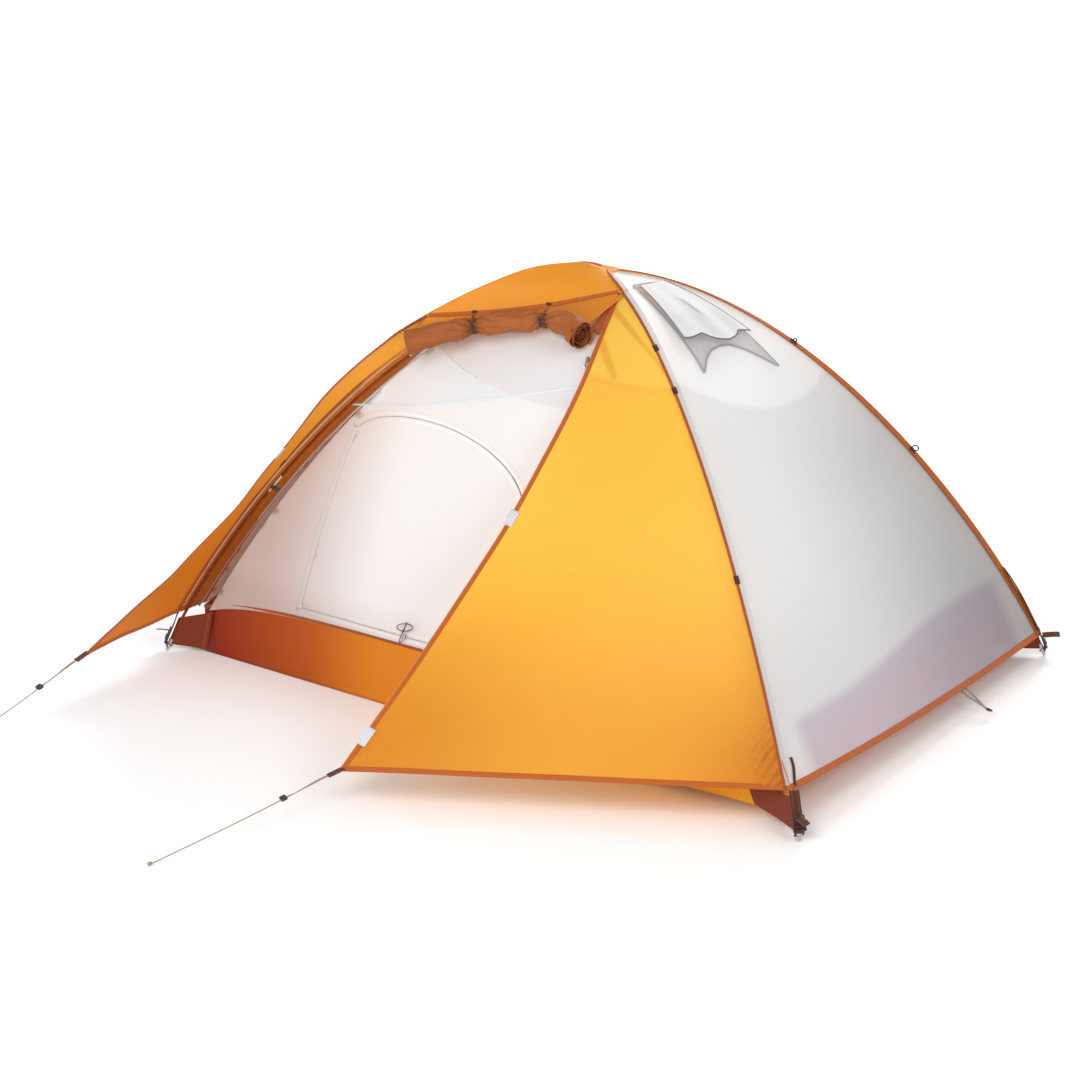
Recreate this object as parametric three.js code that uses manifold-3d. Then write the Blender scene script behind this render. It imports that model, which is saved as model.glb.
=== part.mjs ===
// A two-pole, double-wall, two-person dome tent with an open front vestibule.
// Millimetres, +Z up, the door faces -Y, the origin is the centre of the floor's underside.
import * as THREE from "three";
import { mergeVertices } from "three/addons/utils/BufferGeometryUtils.js";
import Module from "manifold-3d";

const wasm = await Module();
wasm.setup();

// Overall size
const FOOT_HALF_LENGTH = 1050; // pole feet, along X
const FOOT_HALF_WIDTH = 700; // pole feet, along Y
const FLY_PEAK = 1152; // outer face of the fly where the poles cross
const FLY_HALF_LENGTH = 1064; // the fly's ridge lines, at the ground
const FLY_HALF_WIDTH = 714;
const ARC_FULLNESS = 1.8; // the pole arc is peak * (1 - u^fullness)^fall
const ARC_FALL = 0.9;

// Stock sizes
const CLOTH = 2; // cloth shells
const SEAM_GAP = 4; // between two cloth panels at a ridge
const FIT_GAP = 0.5; // between two pieces that touch
const POLE_RADIUS = 4.25;
const POLE_PEAK = 1137; // centre line of the upper pole
const POLE_SECTIONS = 6;
const TIP_RADIUS = 5.5;
const TIP_LENGTH = 34;
const CORD_RADIUS = 1.5;

const tent = new THREE.Group();

const paint = (color, roughness, metalness = 0) => () =>
  new THREE.MeshStandardMaterial({ color, roughness, metalness });
const orangeCloth = paint(0xf0a43a, 0.6);
const whiteCloth = paint(0xe4e4e6, 0.6);
const innerCloth = paint(0xf4f2f2, 0.8);
const floorCloth = paint(0xd8741c, 0.55);
const rolledCloth = paint(0xb8722e, 0.7);
const greyMesh = paint(0xa9aaad, 0.85);
const brownWebbing = paint(0x5a2c16, 0.8);
const darkPlastic = paint(0x2a211e, 0.5);
const bronzeTube = paint(0x6e2f12, 0.35, 0.7);
const silverMetal = paint(0xc4c6c8, 0.35, 0.9);
const greyCord = paint(0xb9a898, 0.8);

function add(name, geometry, material, parent = tent) {
  const mesh = new THREE.Mesh(geometry, material());
  mesh.name = name;
  parent.add(mesh);
  return mesh;
}

// ---- booleans -------------------------------------------------------------------------------

function toSolid(geometry) {
  const bare = new THREE.BufferGeometry();
  bare.setAttribute("position", geometry.getAttribute("position").clone());
  if (geometry.index) bare.setIndex(geometry.index.clone());
  const merged = mergeVertices(bare, 1e-3);
  return new wasm.Manifold(
    new wasm.Mesh({
      numProp: 3,
      vertProperties: new Float32Array(merged.attributes.position.array),
      triVerts: new Uint32Array(merged.index.array),
    }),
  );
}

function toGeometry(solid) {
  const mesh = solid.getMesh();
  const geometry = new THREE.BufferGeometry();
  geometry.setAttribute("position", new THREE.BufferAttribute(mesh.vertProperties, 3));
  geometry.setIndex(new THREE.BufferAttribute(mesh.triVerts, 1));
  geometry.computeVertexNormals();
  return geometry;
}

const cut = (a, b) => toGeometry(toSolid(a).subtract(toSolid(b)));
const common = (a, b) => toGeometry(toSolid(a).intersect(toSolid(b)));
const join = (...pieces) =>
  toGeometry(pieces.map(toSolid).reduce((sum, next) => sum.add(next)));

// ---- cloth shells ---------------------------------------------------------------------------

// A closed shell from a grid of points on its outer face. `inside` is a point on its inner side.
// `ring` joins the last column to the first, and `lid` closes the last row with a fan.
function shell(rows, { inside = new THREE.Vector3(0, 0, 300), thickness = CLOTH, ring = false,
  lid = false } = {}) {
  const count = rows[0].length;
  const outer = rows.flat();
  if (lid) {
    const last = rows[rows.length - 1];
    outer.push(last.reduce((s, p) => s.add(p), new THREE.Vector3()).divideScalar(count));
  }
  const faces = [];
  const at = (i, j) => i * count + (j % count);
  for (let i = 0; i < rows.length - 1; i++)
    for (let j = 0; j < (ring ? count : count - 1); j++) {
      faces.push([at(i, j), at(i, j + 1), at(i + 1, j + 1)]);
      faces.push([at(i, j), at(i + 1, j + 1), at(i + 1, j)]);
    }
  if (lid)
    for (let j = 0; j < count; j++)
      faces.push([at(rows.length - 1, j), at(rows.length - 1, j + 1), outer.length - 1]);

  const normals = outer.map(() => new THREE.Vector3());
  const edge1 = new THREE.Vector3();
  const edge2 = new THREE.Vector3();
  for (const [a, b, c] of faces) {
    edge1.subVectors(outer[b], outer[a]);
    edge2.subVectors(outer[c], outer[a]);
    const n = edge1.clone().cross(edge2);
    [a, b, c].forEach((k) => normals[k].add(n));
  }
  let facing = 0;
  outer.forEach((p, k) => {
    normals[k].normalize();
    facing += normals[k].dot(edge1.subVectors(p, inside));
  });
  const out = facing > 0 ? 1 : -1;
  const inner = outer.map((p, k) => p.clone().addScaledVector(normals[k], -out * thickness));

  const n = outer.length;
  const index = [];
  for (const [a, b, c] of faces) {
    index.push(...(out > 0 ? [a, b, c] : [a, c, b]));
    index.push(...(out > 0 ? [a + n, c + n, b + n] : [a + n, b + n, c + n]));
  }
  const wall = (a, b) =>
    index.push(...(out > 0 ? [b, a, a + n, b, a + n, b + n] : [a, b, b + n, a, b + n, a + n]));
  const last = rows.length - 1;
  for (let j = 0; j < (ring ? count : count - 1); j++) {
    wall(at(0, j), at(0, j + 1));
    if (!lid) wall(at(last, j + 1), at(last, j));
  }
  if (!ring)
    for (let i = 0; i < last; i++) {
      wall(at(i + 1, 0), at(i, 0));
      wall(at(i, count - 1), at(i + 1, count - 1));
    }
  return closed([...outer, ...inner], index);
}

// A solid through a row of rings, capped at both ends.
function loft(rings) {
  const count = rings[0].length;
  const points = rings.flat();
  const middle = (ring) =>
    ring.reduce((s, p) => s.add(p), new THREE.Vector3()).divideScalar(count);
  points.push(middle(rings[0]), middle(rings[rings.length - 1]));
  const index = [];
  for (let i = 0; i < rings.length - 1; i++)
    for (let j = 0; j < count; j++) {
      const k = (j + 1) % count;
      const [a, b, c, d] = [i * count + j, i * count + k, (i + 1) * count + k, (i + 1) * count + j];
      index.push(a, b, c, a, c, d);
    }
  const end = (rings.length - 1) * count;
  for (let j = 0; j < count; j++) {
    const k = (j + 1) % count;
    index.push(k, j, points.length - 2, end + j, end + k, points.length - 1);
  }
  return closed(points, index);
}

function closed(points, index) {
  const geometry = new THREE.BufferGeometry().setFromPoints(points);
  geometry.setIndex(index);
  let volume = 0;
  for (let i = 0; i < index.length; i += 3) {
    const [a, b, c] = [0, 1, 2].map((k) => points[index[i + k]]);
    volume += a.dot(new THREE.Vector3().crossVectors(b, c));
  }
  if (volume < 0) {
    const turned = [];
    for (let i = 0; i < index.length; i += 3) turned.push(index[i], index[i + 2], index[i + 1]);
    geometry.setIndex(turned);
  }
  geometry.computeVertexNormals();
  return geometry;
}

const steps = (n, from = 0, to = 1) =>
  Array.from({ length: n + 1 }, (_, i) => from + ((to - from) * i) / n);
const mix = (a, b, t) => a + (b - a) * t;
const vec = (x, y, z) => new THREE.Vector3(x, y, z);

function rectangle(x0, y0, x1, y1, kind = THREE.Shape) {
  const r = new kind();
  r.moveTo(x0, y0);
  r.lineTo(x1, y0);
  r.lineTo(x1, y1);
  r.lineTo(x0, y1);
  r.closePath();
  return r;
}

const prism = (shape, depth, curveSegments = 6) =>
  new THREE.ExtrudeGeometry(shape, { depth, bevelEnabled: false, curveSegments });

// ---- the arc that the poles and the fly share -----------------------------------------------

const arcHeight = (u) => Math.pow(1 - Math.pow(Math.min(Math.abs(u), 1), ARC_FULLNESS), ARC_FALL);
const arcReach = (share) => Math.pow(1 - Math.pow(share, 1 / ARC_FALL), 1 / ARC_FULLNESS);
const flyReach = (z) => arcReach(z / FLY_PEAK); // how far out the fly is at a height

const ridge = (u, sideX, sideY) =>
  vec(sideX * FLY_HALF_LENGTH * u, sideY * FLY_HALF_WIDTH * u, FLY_PEAK * arcHeight(u));

// One pole from the foot at -1 to the foot at +1. `turn` is +1 for the pole from front right to
// back left and -1 for the other, which passes under it.
class PoleLine extends THREE.Curve {
  constructor(turn, peak) {
    super();
    this.turn = turn;
    this.peak = peak;
    this.arcLengthDivisions = 600;
  }
  getPoint(t, target = new THREE.Vector3()) {
    const u = 2 * t - 1;
    return target.set(
      FOOT_HALF_LENGTH * u,
      -this.turn * FOOT_HALF_WIDTH * u,
      TIP_RADIUS + (this.peak - TIP_RADIUS) * arcHeight(u),
    );
  }
}

// A stretch of a longer curve, from one length along it to another.
class Stretch extends THREE.Curve {
  constructor(whole, from, to) {
    super();
    this.whole = whole;
    this.from = from / whole.getLength();
    this.to = to / whole.getLength();
  }
  getPoint(t, target) {
    return this.whole.getPointAt(mix(this.from, this.to, t), target);
  }
}

function disc(radius, sides = 8) {
  const shape = new THREE.Shape();
  for (let k = 0; k < sides; k++) {
    const a = (2 * Math.PI * k) / sides;
    if (k) shape.lineTo(radius * Math.cos(a), radius * Math.sin(a));
    else shape.moveTo(radius * Math.cos(a), radius * Math.sin(a));
  }
  return shape;
}

const tube = (curve, radius, count, sides = 8) =>
  new THREE.ExtrudeGeometry(disc(radius, sides), { extrudePath: curve, steps: count,
    bevelEnabled: false });

const poleCurves = {
  a: new PoleLine(1, POLE_PEAK),
  b: new PoleLine(-1, POLE_PEAK - 2 * POLE_RADIUS - FIT_GAP),
};
const BEND_STEPS = 9;
for (const [key, curve] of Object.entries(poleCurves)) {
  const start = TIP_LENGTH + FIT_GAP;
  const length = (curve.getLength() - 2 * start) / POLE_SECTIONS;
  for (let k = 0; k < POLE_SECTIONS; k++) {
    const piece = new Stretch(curve, start + k * length, start + (k + 1) * length - FIT_GAP);
    add(`pole_${key}_section_${k + 1}`, tube(piece, POLE_RADIUS, BEND_STEPS), bronzeTube);
  }
}

// A group whose Z runs along `along` and whose X is the level-most direction that faces up.
function frameAt(origin, along) {
  const z = along.clone().normalize();
  const x = vec(0, 0, 1).addScaledVector(z, -z.z).normalize();
  const y = new THREE.Vector3().crossVectors(z, x);
  const group = new THREE.Group();
  group.position.copy(origin);
  group.quaternion.setFromRotationMatrix(new THREE.Matrix4().makeBasis(x, y, z));
  tent.add(group);
  return group;
}

// ---- the four corners: metal tip, webbing strap and ladder-lock buckle -----------------------

const EYE_SIDES = 16;
const STRAP_INSET = 9.5; // from the pole's centre line to the strap
const STRAP_THICKNESS = 2.5;
const STRAP_HALF_WIDTH = 10;
const RING_AT = 12;
const RING_HEIGHT = 3;
const STRAP_BELOW_HEM = 20;
const BUCKLE_AT = 26;
const BUCKLE_HEIGHT = 16;
const BUCKLE_WALL = 3.5;
const BUCKLE_BACK = 2.5; // how far the buckle's frame stands behind the strap
const FRONT_HEM = 125; // height of the fly's hem at its front corners
const REAR_HEM = 72;

const corners = {
  fr: { curve: poleCurves.a, end: 1, hem: FRONT_HEM },
  bl: { curve: poleCurves.a, end: 0, hem: REAR_HEM },
  br: { curve: poleCurves.b, end: 1, hem: REAR_HEM },
  fl: { curve: poleCurves.b, end: 0, hem: FRONT_HEM },
};
for (const [key, { curve, end, hem }] of Object.entries(corners)) {
  const foot = curve.getPoint(end);
  const share = TIP_LENGTH / curve.getLength();
  const along = curve.getPointAt(Math.abs(end - share)).sub(foot);
  const corner = frameAt(foot, along);

  const profile = [vec(0, -TIP_RADIUS, 0)];
  for (const a of steps(3, -60, 0))
    profile.push(vec(TIP_RADIUS * Math.cos((a * Math.PI) / 180),
      TIP_RADIUS * Math.sin((a * Math.PI) / 180), 0));
  profile.push(vec(TIP_RADIUS, TIP_LENGTH, 0), vec(0, TIP_LENGTH, 0));
  const tip = new THREE.LatheGeometry(profile.map((p) => new THREE.Vector2(p.x, p.y)), 12);
  add(`pole_tip_${key}`, tip.rotateX(Math.PI / 2), silverMetal, corner);

  const reach = (hem - STRAP_BELOW_HEM) / along.normalize().z;
  const eye = disc(STRAP_INSET + STRAP_THICKNESS - FIT_GAP, EYE_SIDES);
  eye.holes.push(disc(TIP_RADIUS + FIT_GAP, EYE_SIDES));
  const band = new THREE.BoxGeometry(STRAP_THICKNESS, 2 * STRAP_HALF_WIDTH, reach - RING_AT)
    .translate(STRAP_INSET + STRAP_THICKNESS / 2, 0, (reach + RING_AT) / 2);
  add(`corner_strap_${key}`, join(prism(eye, RING_HEIGHT).translate(0, 0, RING_AT), band),
    brownWebbing, corner);

  const buckle = rectangle(STRAP_INSET - BUCKLE_BACK, -STRAP_HALF_WIDTH - BUCKLE_WALL,
    STRAP_INSET + STRAP_THICKNESS + BUCKLE_WALL, STRAP_HALF_WIDTH + BUCKLE_WALL);
  buckle.holes.push(rectangle(STRAP_INSET - FIT_GAP, -STRAP_HALF_WIDTH - FIT_GAP,
    STRAP_INSET + STRAP_THICKNESS + FIT_GAP, STRAP_HALF_WIDTH + FIT_GAP, THREE.Path));
  add(`corner_buckle_${key}`, prism(buckle, BUCKLE_HEIGHT).translate(0, 0, BUCKLE_AT), darkPlastic,
    corner);
}

// ---- clips that hang the inner tent from the poles -------------------------------------------

const CLIP_WIDTH = 12;
const CLIP_WALL = 2;
const CLIP_CLEARANCE = 1; // round the pole
const CLIP_MOUTH = 1.05; // half the opening angle, in radians
const CLIP_TAIL_ANGLE = 0.25; // half the angle that the tail takes on the ring
const CLIP_TAIL = 13;
// An open ring round the pole with a tail towards the inner tent, in the clip's own XY.
function clip(tail) {
  const inner = POLE_RADIUS + CLIP_CLEARANCE;
  const outer = inner + CLIP_WALL;
  const tailHalf = outer * Math.sin(CLIP_TAIL_ANGLE);
  const shape = new THREE.Shape();
  shape.absarc(0, 0, outer, CLIP_MOUTH, Math.PI - CLIP_TAIL_ANGLE, false);
  shape.lineTo(-outer - tail, tailHalf);
  shape.lineTo(-outer - tail, -tailHalf);
  shape.absarc(0, 0, outer, Math.PI + CLIP_TAIL_ANGLE, 2 * Math.PI - CLIP_MOUTH, false);
  shape.absarc(0, 0, inner, 2 * Math.PI - CLIP_MOUTH, CLIP_MOUTH, true);
  shape.closePath();
  return prism(shape, CLIP_WIDTH, 10).translate(0, 0, -CLIP_WIDTH / 2);
}
const CLIP_AT = { fr: ["a", 0.83], bl: ["a", 0.17], br: ["b", 0.83], fl: ["b", 0.17] };
for (const [key, [pole, at]] of Object.entries(CLIP_AT)) {
  const curve = poleCurves[pole];
  const group = frameAt(curve.getPointAt(at), curve.getTangentAt(at));
  add(`pole_clip_${key}`, clip(CLIP_TAIL), darkPlastic, group);
}
// The hook at the peak hangs from the lower pole, beside the crossing.
const PEAK_HOOK_AT = 0.508;
const PEAK_HOOK_TAIL = 38;
const hookCurve = poleCurves.b;
add("peak_hook", clip(PEAK_HOOK_TAIL), darkPlastic,
  frameAt(hookCurve.getPointAt(PEAK_HOOK_AT), hookCurve.getTangentAt(PEAK_HOOK_AT)));

// ---- the inner tent --------------------------------------------------------------------------

const FLOOR_HALF_LENGTH = 1005;
const FLOOR_HALF_WIDTH = 655;
const TUB_HEIGHT = 190;
const TUB_HALF_LENGTH = 945;
const TUB_HALF_WIDTH = 628;
const WALL_ABOVE_TUB = 2;
const WALL_TOP = 930; // where the walls end at the corners
const WALL_TOP_HALF_LENGTH = 396;
const WALL_TOP_HALF_WIDTH = 262;
const WALL_DIP = 80; // the top seam dips by this in the middle of each wall

function loop(halfLength, halfWidth, height, each = 6) {
  const points = [];
  const sides = [
    (t) => vec(t * halfLength, -halfWidth, height(t)),
    (t) => vec(halfLength, t * halfWidth, height(t)),
    (t) => vec(-t * halfLength, halfWidth, height(t)),
    (t) => vec(-halfLength, -t * halfWidth, height(t)),
  ];
  for (const side of sides)
    for (const t of steps(each, -1, 1).slice(0, each)) points.push(side(t));
  return points;
}

// The bathtub floor: one tray, open at the top.
const level = (z) => () => z;
const tray = [
  loop(TUB_HALF_LENGTH, TUB_HALF_WIDTH, level(TUB_HEIGHT)),
  loop(FLOOR_HALF_LENGTH, FLOOR_HALF_WIDTH, level(0)),
];
const trayShell = () => {
  const count = tray[0].length;
  const inset = (points, by, z) => points.map((p) =>
    vec(p.x - by * Math.sign(Math.round(p.x)) * (Math.abs(p.x) > by ? 1 : 0),
      p.y - by * Math.sign(Math.round(p.y)) * (Math.abs(p.y) > by ? 1 : 0), z));
  const rings = [...tray, inset(tray[1], CLOTH, CLOTH), inset(tray[0], CLOTH, TUB_HEIGHT)];
  const points = [...rings.flat(), vec(0, 0, 0), vec(0, 0, CLOTH)];
  const index = [];
  const quad = (r, s) => {
    for (let j = 0; j < count; j++) {
      const k = (j + 1) % count;
      const [a, b, c, d] = [r * count + j, r * count + k, s * count + k, s * count + j];
      index.push(a, c, b, a, d, c);
    }
  };
  quad(0, 1);
  quad(2, 3);
  quad(3, 0);
  for (let j = 0; j < count; j++) {
    const k = (j + 1) % count;
    index.push(count + j, 4 * count, count + k);
    index.push(2 * count + j, 2 * count + k, 4 * count + 1);
  }
  return closed(points, index);
};
add("inner_floor_tub", trayShell(), floorCloth);

// Each wall is flat and leans in. Its group has X along the wall, Y up the slope, Z outwards.
function wallFrame(halfTub, halfTop, turn) {
  const lean = Math.atan2(halfTub - halfTop, WALL_TOP - TUB_HEIGHT);
  const turned = new THREE.Group();
  turned.rotation.z = turn;
  const leaning = new THREE.Group();
  leaning.position.set(0, -halfTub, TUB_HEIGHT + WALL_ABOVE_TUB);
  leaning.rotation.x = Math.PI / 2 - lean;
  turned.add(leaning);
  tent.add(turned);
  return { group: leaning, slope: (z) => (z - TUB_HEIGHT) / Math.cos(lean) };
}

function wallShape(halfBottom, halfTop, slope) {
  const inset = SEAM_GAP;
  const top = slope(WALL_TOP);
  const shape = new THREE.Shape();
  shape.moveTo(-halfBottom + inset, 0);
  shape.lineTo(halfBottom - inset, 0);
  shape.lineTo(halfTop - inset, top);
  shape.quadraticCurveTo(0, top - 2 * (top - slope(WALL_TOP - WALL_DIP)), -halfTop + inset, top);
  shape.closePath();
  return shape;
}

const frontWall = wallFrame(TUB_HALF_WIDTH, WALL_TOP_HALF_WIDTH, 0);
const backWall = wallFrame(TUB_HALF_WIDTH, WALL_TOP_HALF_WIDTH, Math.PI);
const rightWall = wallFrame(TUB_HALF_LENGTH, WALL_TOP_HALF_LENGTH, Math.PI / 2);
const leftWall = wallFrame(TUB_HALF_LENGTH, WALL_TOP_HALF_LENGTH, -Math.PI / 2);

// The door in the front wall: a D, hinged on its straight left edge.
const DOOR = { leftLow: -620, leftHigh: -520, right: 40, low: 22, high: 560, arch: 640 };
function doorOutline(inset, kind) {
  const d = new kind();
  d.moveTo(DOOR.leftLow + inset, DOOR.low + inset);
  d.lineTo(DOOR.right - 60, DOOR.low + inset);
  d.quadraticCurveTo(DOOR.right - inset, DOOR.low + inset, DOOR.right - inset, DOOR.low + 70);
  d.lineTo(DOOR.right - inset, DOOR.high - 160);
  d.bezierCurveTo(DOOR.right - inset, DOOR.arch - inset, DOOR.leftHigh + 60 + inset,
    DOOR.arch + 40 - inset, DOOR.leftHigh + inset, DOOR.high - inset);
  d.closePath();
  return d;
}
const frontShape = wallShape(TUB_HALF_LENGTH, WALL_TOP_HALF_LENGTH, frontWall.slope);
frontShape.holes.push(doorOutline(0, THREE.Path));
const DOOR_GAP = 3;
add("inner_wall_front", prism(frontShape, CLOTH).translate(0, 0, -CLOTH), innerCloth,
  frontWall.group);
add("inner_door", prism(doorOutline(DOOR_GAP, THREE.Shape), CLOTH).translate(0, 0, -CLOTH),
  innerCloth, frontWall.group);
const plainWall = (frame, halfBottom, halfTop) =>
  prism(wallShape(halfBottom, halfTop, frame.slope), CLOTH).translate(0, 0, -CLOTH);
add("inner_wall_back", plainWall(backWall, TUB_HALF_LENGTH, WALL_TOP_HALF_LENGTH), innerCloth,
  backWall.group);
add("inner_wall_right", plainWall(rightWall, TUB_HALF_WIDTH, WALL_TOP_HALF_WIDTH), innerCloth,
  rightWall.group);
add("inner_wall_left", plainWall(leftWall, TUB_HALF_WIDTH, WALL_TOP_HALF_WIDTH), innerCloth,
  leftWall.group);

// The cap above the walls, which lies on their planes at its lower edge.
const CAP_GAP = 8;
const onPlanes = (t, each) => {
  const z = WALL_TOP - WALL_DIP * (1 - t * t) + CAP_GAP;
  const share = (z - TUB_HEIGHT) / (WALL_TOP - TUB_HEIGHT);
  const halfLength = mix(TUB_HALF_LENGTH, WALL_TOP_HALF_LENGTH, share);
  const halfWidth = mix(TUB_HALF_WIDTH, WALL_TOP_HALF_WIDTH, share);
  return each(t, halfLength, halfWidth, z);
};
const capFoot = [];
for (const side of [
  (t, l, w, z) => vec(t * WALL_TOP_HALF_LENGTH, -w, z),
  (t, l, w, z) => vec(l, t * WALL_TOP_HALF_WIDTH, z),
  (t, l, w, z) => vec(-t * WALL_TOP_HALF_LENGTH, w, z),
  (t, l, w, z) => vec(-l, -t * WALL_TOP_HALF_WIDTH, z),
])
  for (const t of steps(6, -1, 1).slice(0, 6)) capFoot.push(onPlanes(t, side));
const CAP_PEAK = 1068;
add("inner_cap", shell([
  capFoot,
  loop(345, 226, level(970)),
  loop(262, 168, level(1018)),
  loop(175, 110, level(1048)),
  loop(80, 50, level(CAP_PEAK)),
], { ring: true, lid: true, inside: vec(0, 0, 600) }), innerCloth);

// The slider of the inner door's zip, with its cord pull, on the zip's straight bottom run.
const INNER_SLIDER = { x: -250, up: 14 };
const pull = disc(9, 12);
pull.holes.push(disc(6.5, 12));
const sliderBody = new THREE.BoxGeometry(12, 16, 5).translate(0, 0, 3.5);
const pullCord = new THREE.BoxGeometry(2.4, 24, 2.4).translate(0, 18, 3);
add("inner_zip_slider", join(sliderBody, pullCord, prism(pull, 2.4).translate(0, 36, 1.8))
  .translate(INNER_SLIDER.x, INNER_SLIDER.up - 8, 0.5), darkPlastic, frontWall.group);

// ---- the fly ----------------------------------------------------------------------------------

const SIDE_HEM_LOW = 66;
const APEX_START = 0.02;
const ROWS = 14;
const COLUMNS = 6;

// A side panel, white: its rows run out from the peak, its columns from front to back.
function sideGrid(sideX, offset = 0) {
  return steps(ROWS).map((s) =>
    steps(COLUMNS, -1, 1).map((t) => {
      const hem = SIDE_HEM_LOW + (FRONT_HEM - SIDE_HEM_LOW) * Math.pow((1 - t) / 2, 2);
      const u = mix(APEX_START, flyReach(hem), s);
      const edge = 1 - SEAM_GAP / (FLY_HALF_WIDTH * u);
      return vec(sideX * (FLY_HALF_LENGTH * u - offset), FLY_HALF_WIDTH * u * t * edge,
        FLY_PEAK * arcHeight(u) - offset);
    }));
}

// The vent: an opening, a mesh in it and a hood that hinges at its top edge.
const VENT = { top: 150, bottom: 350, topHalf: 46, bottomHalf: 112 };
function ventPrism(inset, sideX) {
  const shape = new THREE.Shape();
  shape.moveTo(VENT.top + inset, -VENT.topHalf + inset);
  shape.lineTo(VENT.bottom - inset, -VENT.bottomHalf + inset);
  shape.lineTo(VENT.bottom - inset, VENT.bottomHalf - inset);
  shape.lineTo(VENT.top + inset, VENT.topHalf - inset);
  shape.closePath();
  const cutter = prism(shape, 400).translate(0, 0, 850);
  return sideX > 0 ? cutter : cutter.rotateZ(Math.PI);
}

const HOOD = { top: 128, bottom: 374, topHalf: 52, bottomHalf: 126, lift: 6, open: 4 };
const PROP = { at: 240, length: 44, thickness: 3, halfWidth: 5, angle: 10 };
const skin = (x) => FLY_PEAK * arcHeight(x / FLY_HALF_LENGTH);
const radians = (degrees) => (degrees * Math.PI) / 180;

const sideNames = [["right", 1], ["left", -1]];
for (const [name, sideX] of sideNames) {
  const facing = { inside: vec(0, 0, 300) };
  // a webbing peg loop is sewn to the middle of the hem
  const hemAt = sideGrid(sideX)[ROWS][COLUMNS / 2 + 1];
  const panel = cut(shell(sideGrid(sideX), facing), ventPrism(0, sideX));
  const loopOuter = disc(11, 12);
  loopOuter.holes.push(disc(6, 12));
  const pegLoop = prism(loopOuter, 2).translate(0, 0, -1).scale(3.4, 1, 1)
    .translate(34, 0, 0).rotateY(radians(28)).rotateZ(sideX > 0 ? 0 : Math.PI)
    .translate(hemAt.x - sideX * 7, hemAt.y, hemAt.z + 1);
  add(`fly_side_${name}`, join(panel, pegLoop), whiteCloth);

  const mesh = common(shell(sideGrid(sideX, 0.4), { ...facing, thickness: 1 }),
    ventPrism(1.5, sideX));
  add(`vent_mesh_${name}`, mesh, greyMesh);

  // the hood is made lying shut on the fly, then turned up to where the prop holds it
  const hinge = vec(HOOD.top, 0, skin(HOOD.top) + HOOD.lift);
  const hoodRows = steps(4).map((s) => {
    const x = mix(HOOD.top, HOOD.bottom, s);
    const half = mix(HOOD.topHalf, HOOD.bottomHalf, s);
    return steps(4, -1, 1).map((t) => vec(x - hinge.x, t * half, skin(x) + HOOD.lift - hinge.z));
  });
  const turn = new THREE.Group();
  turn.rotation.z = sideX > 0 ? 0 : Math.PI;
  tent.add(turn);
  const hood = new THREE.Group();
  hood.position.copy(hinge);
  hood.rotation.y = -radians(HOOD.open);
  turn.add(hood);
  add(`vent_hood_${name}`, shell(hoodRows, { inside: vec(100, 0, -400), thickness: 1.6 }),
    whiteCloth, hood);

  const slopeAngle = Math.atan2(skin(PROP.at) - skin(PROP.at + 10), 10);
  const prop = new THREE.Group();
  prop.position.set(PROP.at, 0, skin(PROP.at) + 3);
  prop.rotation.y = slopeAngle - radians(PROP.angle);
  turn.add(prop);
  add(`vent_prop_${name}`,
    new THREE.BoxGeometry(PROP.length, 2 * PROP.halfWidth, PROP.thickness)
      .translate(PROP.length / 2, 0, 0), darkPlastic, prop);
}

const backGrid = steps(ROWS).map((s) =>
  steps(COLUMNS, -1, 1).map((t) => {
    const u = mix(APEX_START, flyReach(REAR_HEM - 14 * (1 - t * t)), s);
    const edge = 1 - SEAM_GAP / (FLY_HALF_LENGTH * u);
    return vec(FLY_HALF_LENGTH * u * t * edge, FLY_HALF_WIDTH * u, FLY_PEAK * arcHeight(u));
  }));
add("fly_back", shell(backGrid), orangeCloth);

// The front edge: from the peak along the brow to its left corner, then down the left flap
// to that flap's tip.
const frontEdge = new THREE.CatmullRomCurve3([
  vec(-30, -32, 1162), vec(-145, -140, 1158), vec(-230, -235, 1125), vec(-370, -350, 1045),
  vec(-455, -440, 967), vec(-565, -530, 841), vec(-690, -590, 658), vec(-810, -665, 477),
  vec(-915, -800, 316), vec(-1043, -1050, 118),
]);
const BROW_RIDGE_END = 0.42; // where the brow ends on the left ridge
const BROW_RIGHT_END = 0.085; // and on the right ridge
const BROW_END = 0.255; // and along the front edge
const LEFT_FLAP_RIDGE_START = 0.432;
const LEFT_FLAP_FRONT_START = 0.263;
const RIGHT_FLAP_RIDGE_START = 0.115;
const pulledIn = (from, towards, by) =>
  from.clone().addScaledVector(towards.clone().sub(from).normalize(), by);
const browRows = steps(6).map((s) => {
  const left = ridge(mix(APEX_START, BROW_RIDGE_END, s), -1, -1);
  const right = ridge(mix(APEX_START, BROW_RIGHT_END, s), 1, -1);
  const front = frontEdge.getPointAt(BROW_END * s);
  return [
    pulledIn(left, front, SEAM_GAP),
    front,
    ...[1, 2].map((k) => front.clone().lerp(right, k / 3)),
    pulledIn(right, front, SEAM_GAP),
  ];
});
add("fly_brow", shell(browRows), orangeCloth);

const FLAP_ROWS = 8;
const TAB_LENGTH = 44;
const TAB_WIDTH = 14;
const TAB_SEWN = 8; // how much of the tab lies on the flap
const webbingTab = (at, along) => {
  const tab = new THREE.BoxGeometry(TAB_WIDTH, CLOTH, TAB_LENGTH)
    .translate(0, 0, TAB_LENGTH / 2 - TAB_SEWN);
  const z = along.clone().normalize();
  const x = new THREE.Vector3().crossVectors(vec(0, 0, 1), z).normalize();
  const y = new THREE.Vector3().crossVectors(z, x);
  return tab.applyMatrix4(new THREE.Matrix4().makeBasis(x, y, z)).translate(at.x, at.y, at.z);
};

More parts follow.
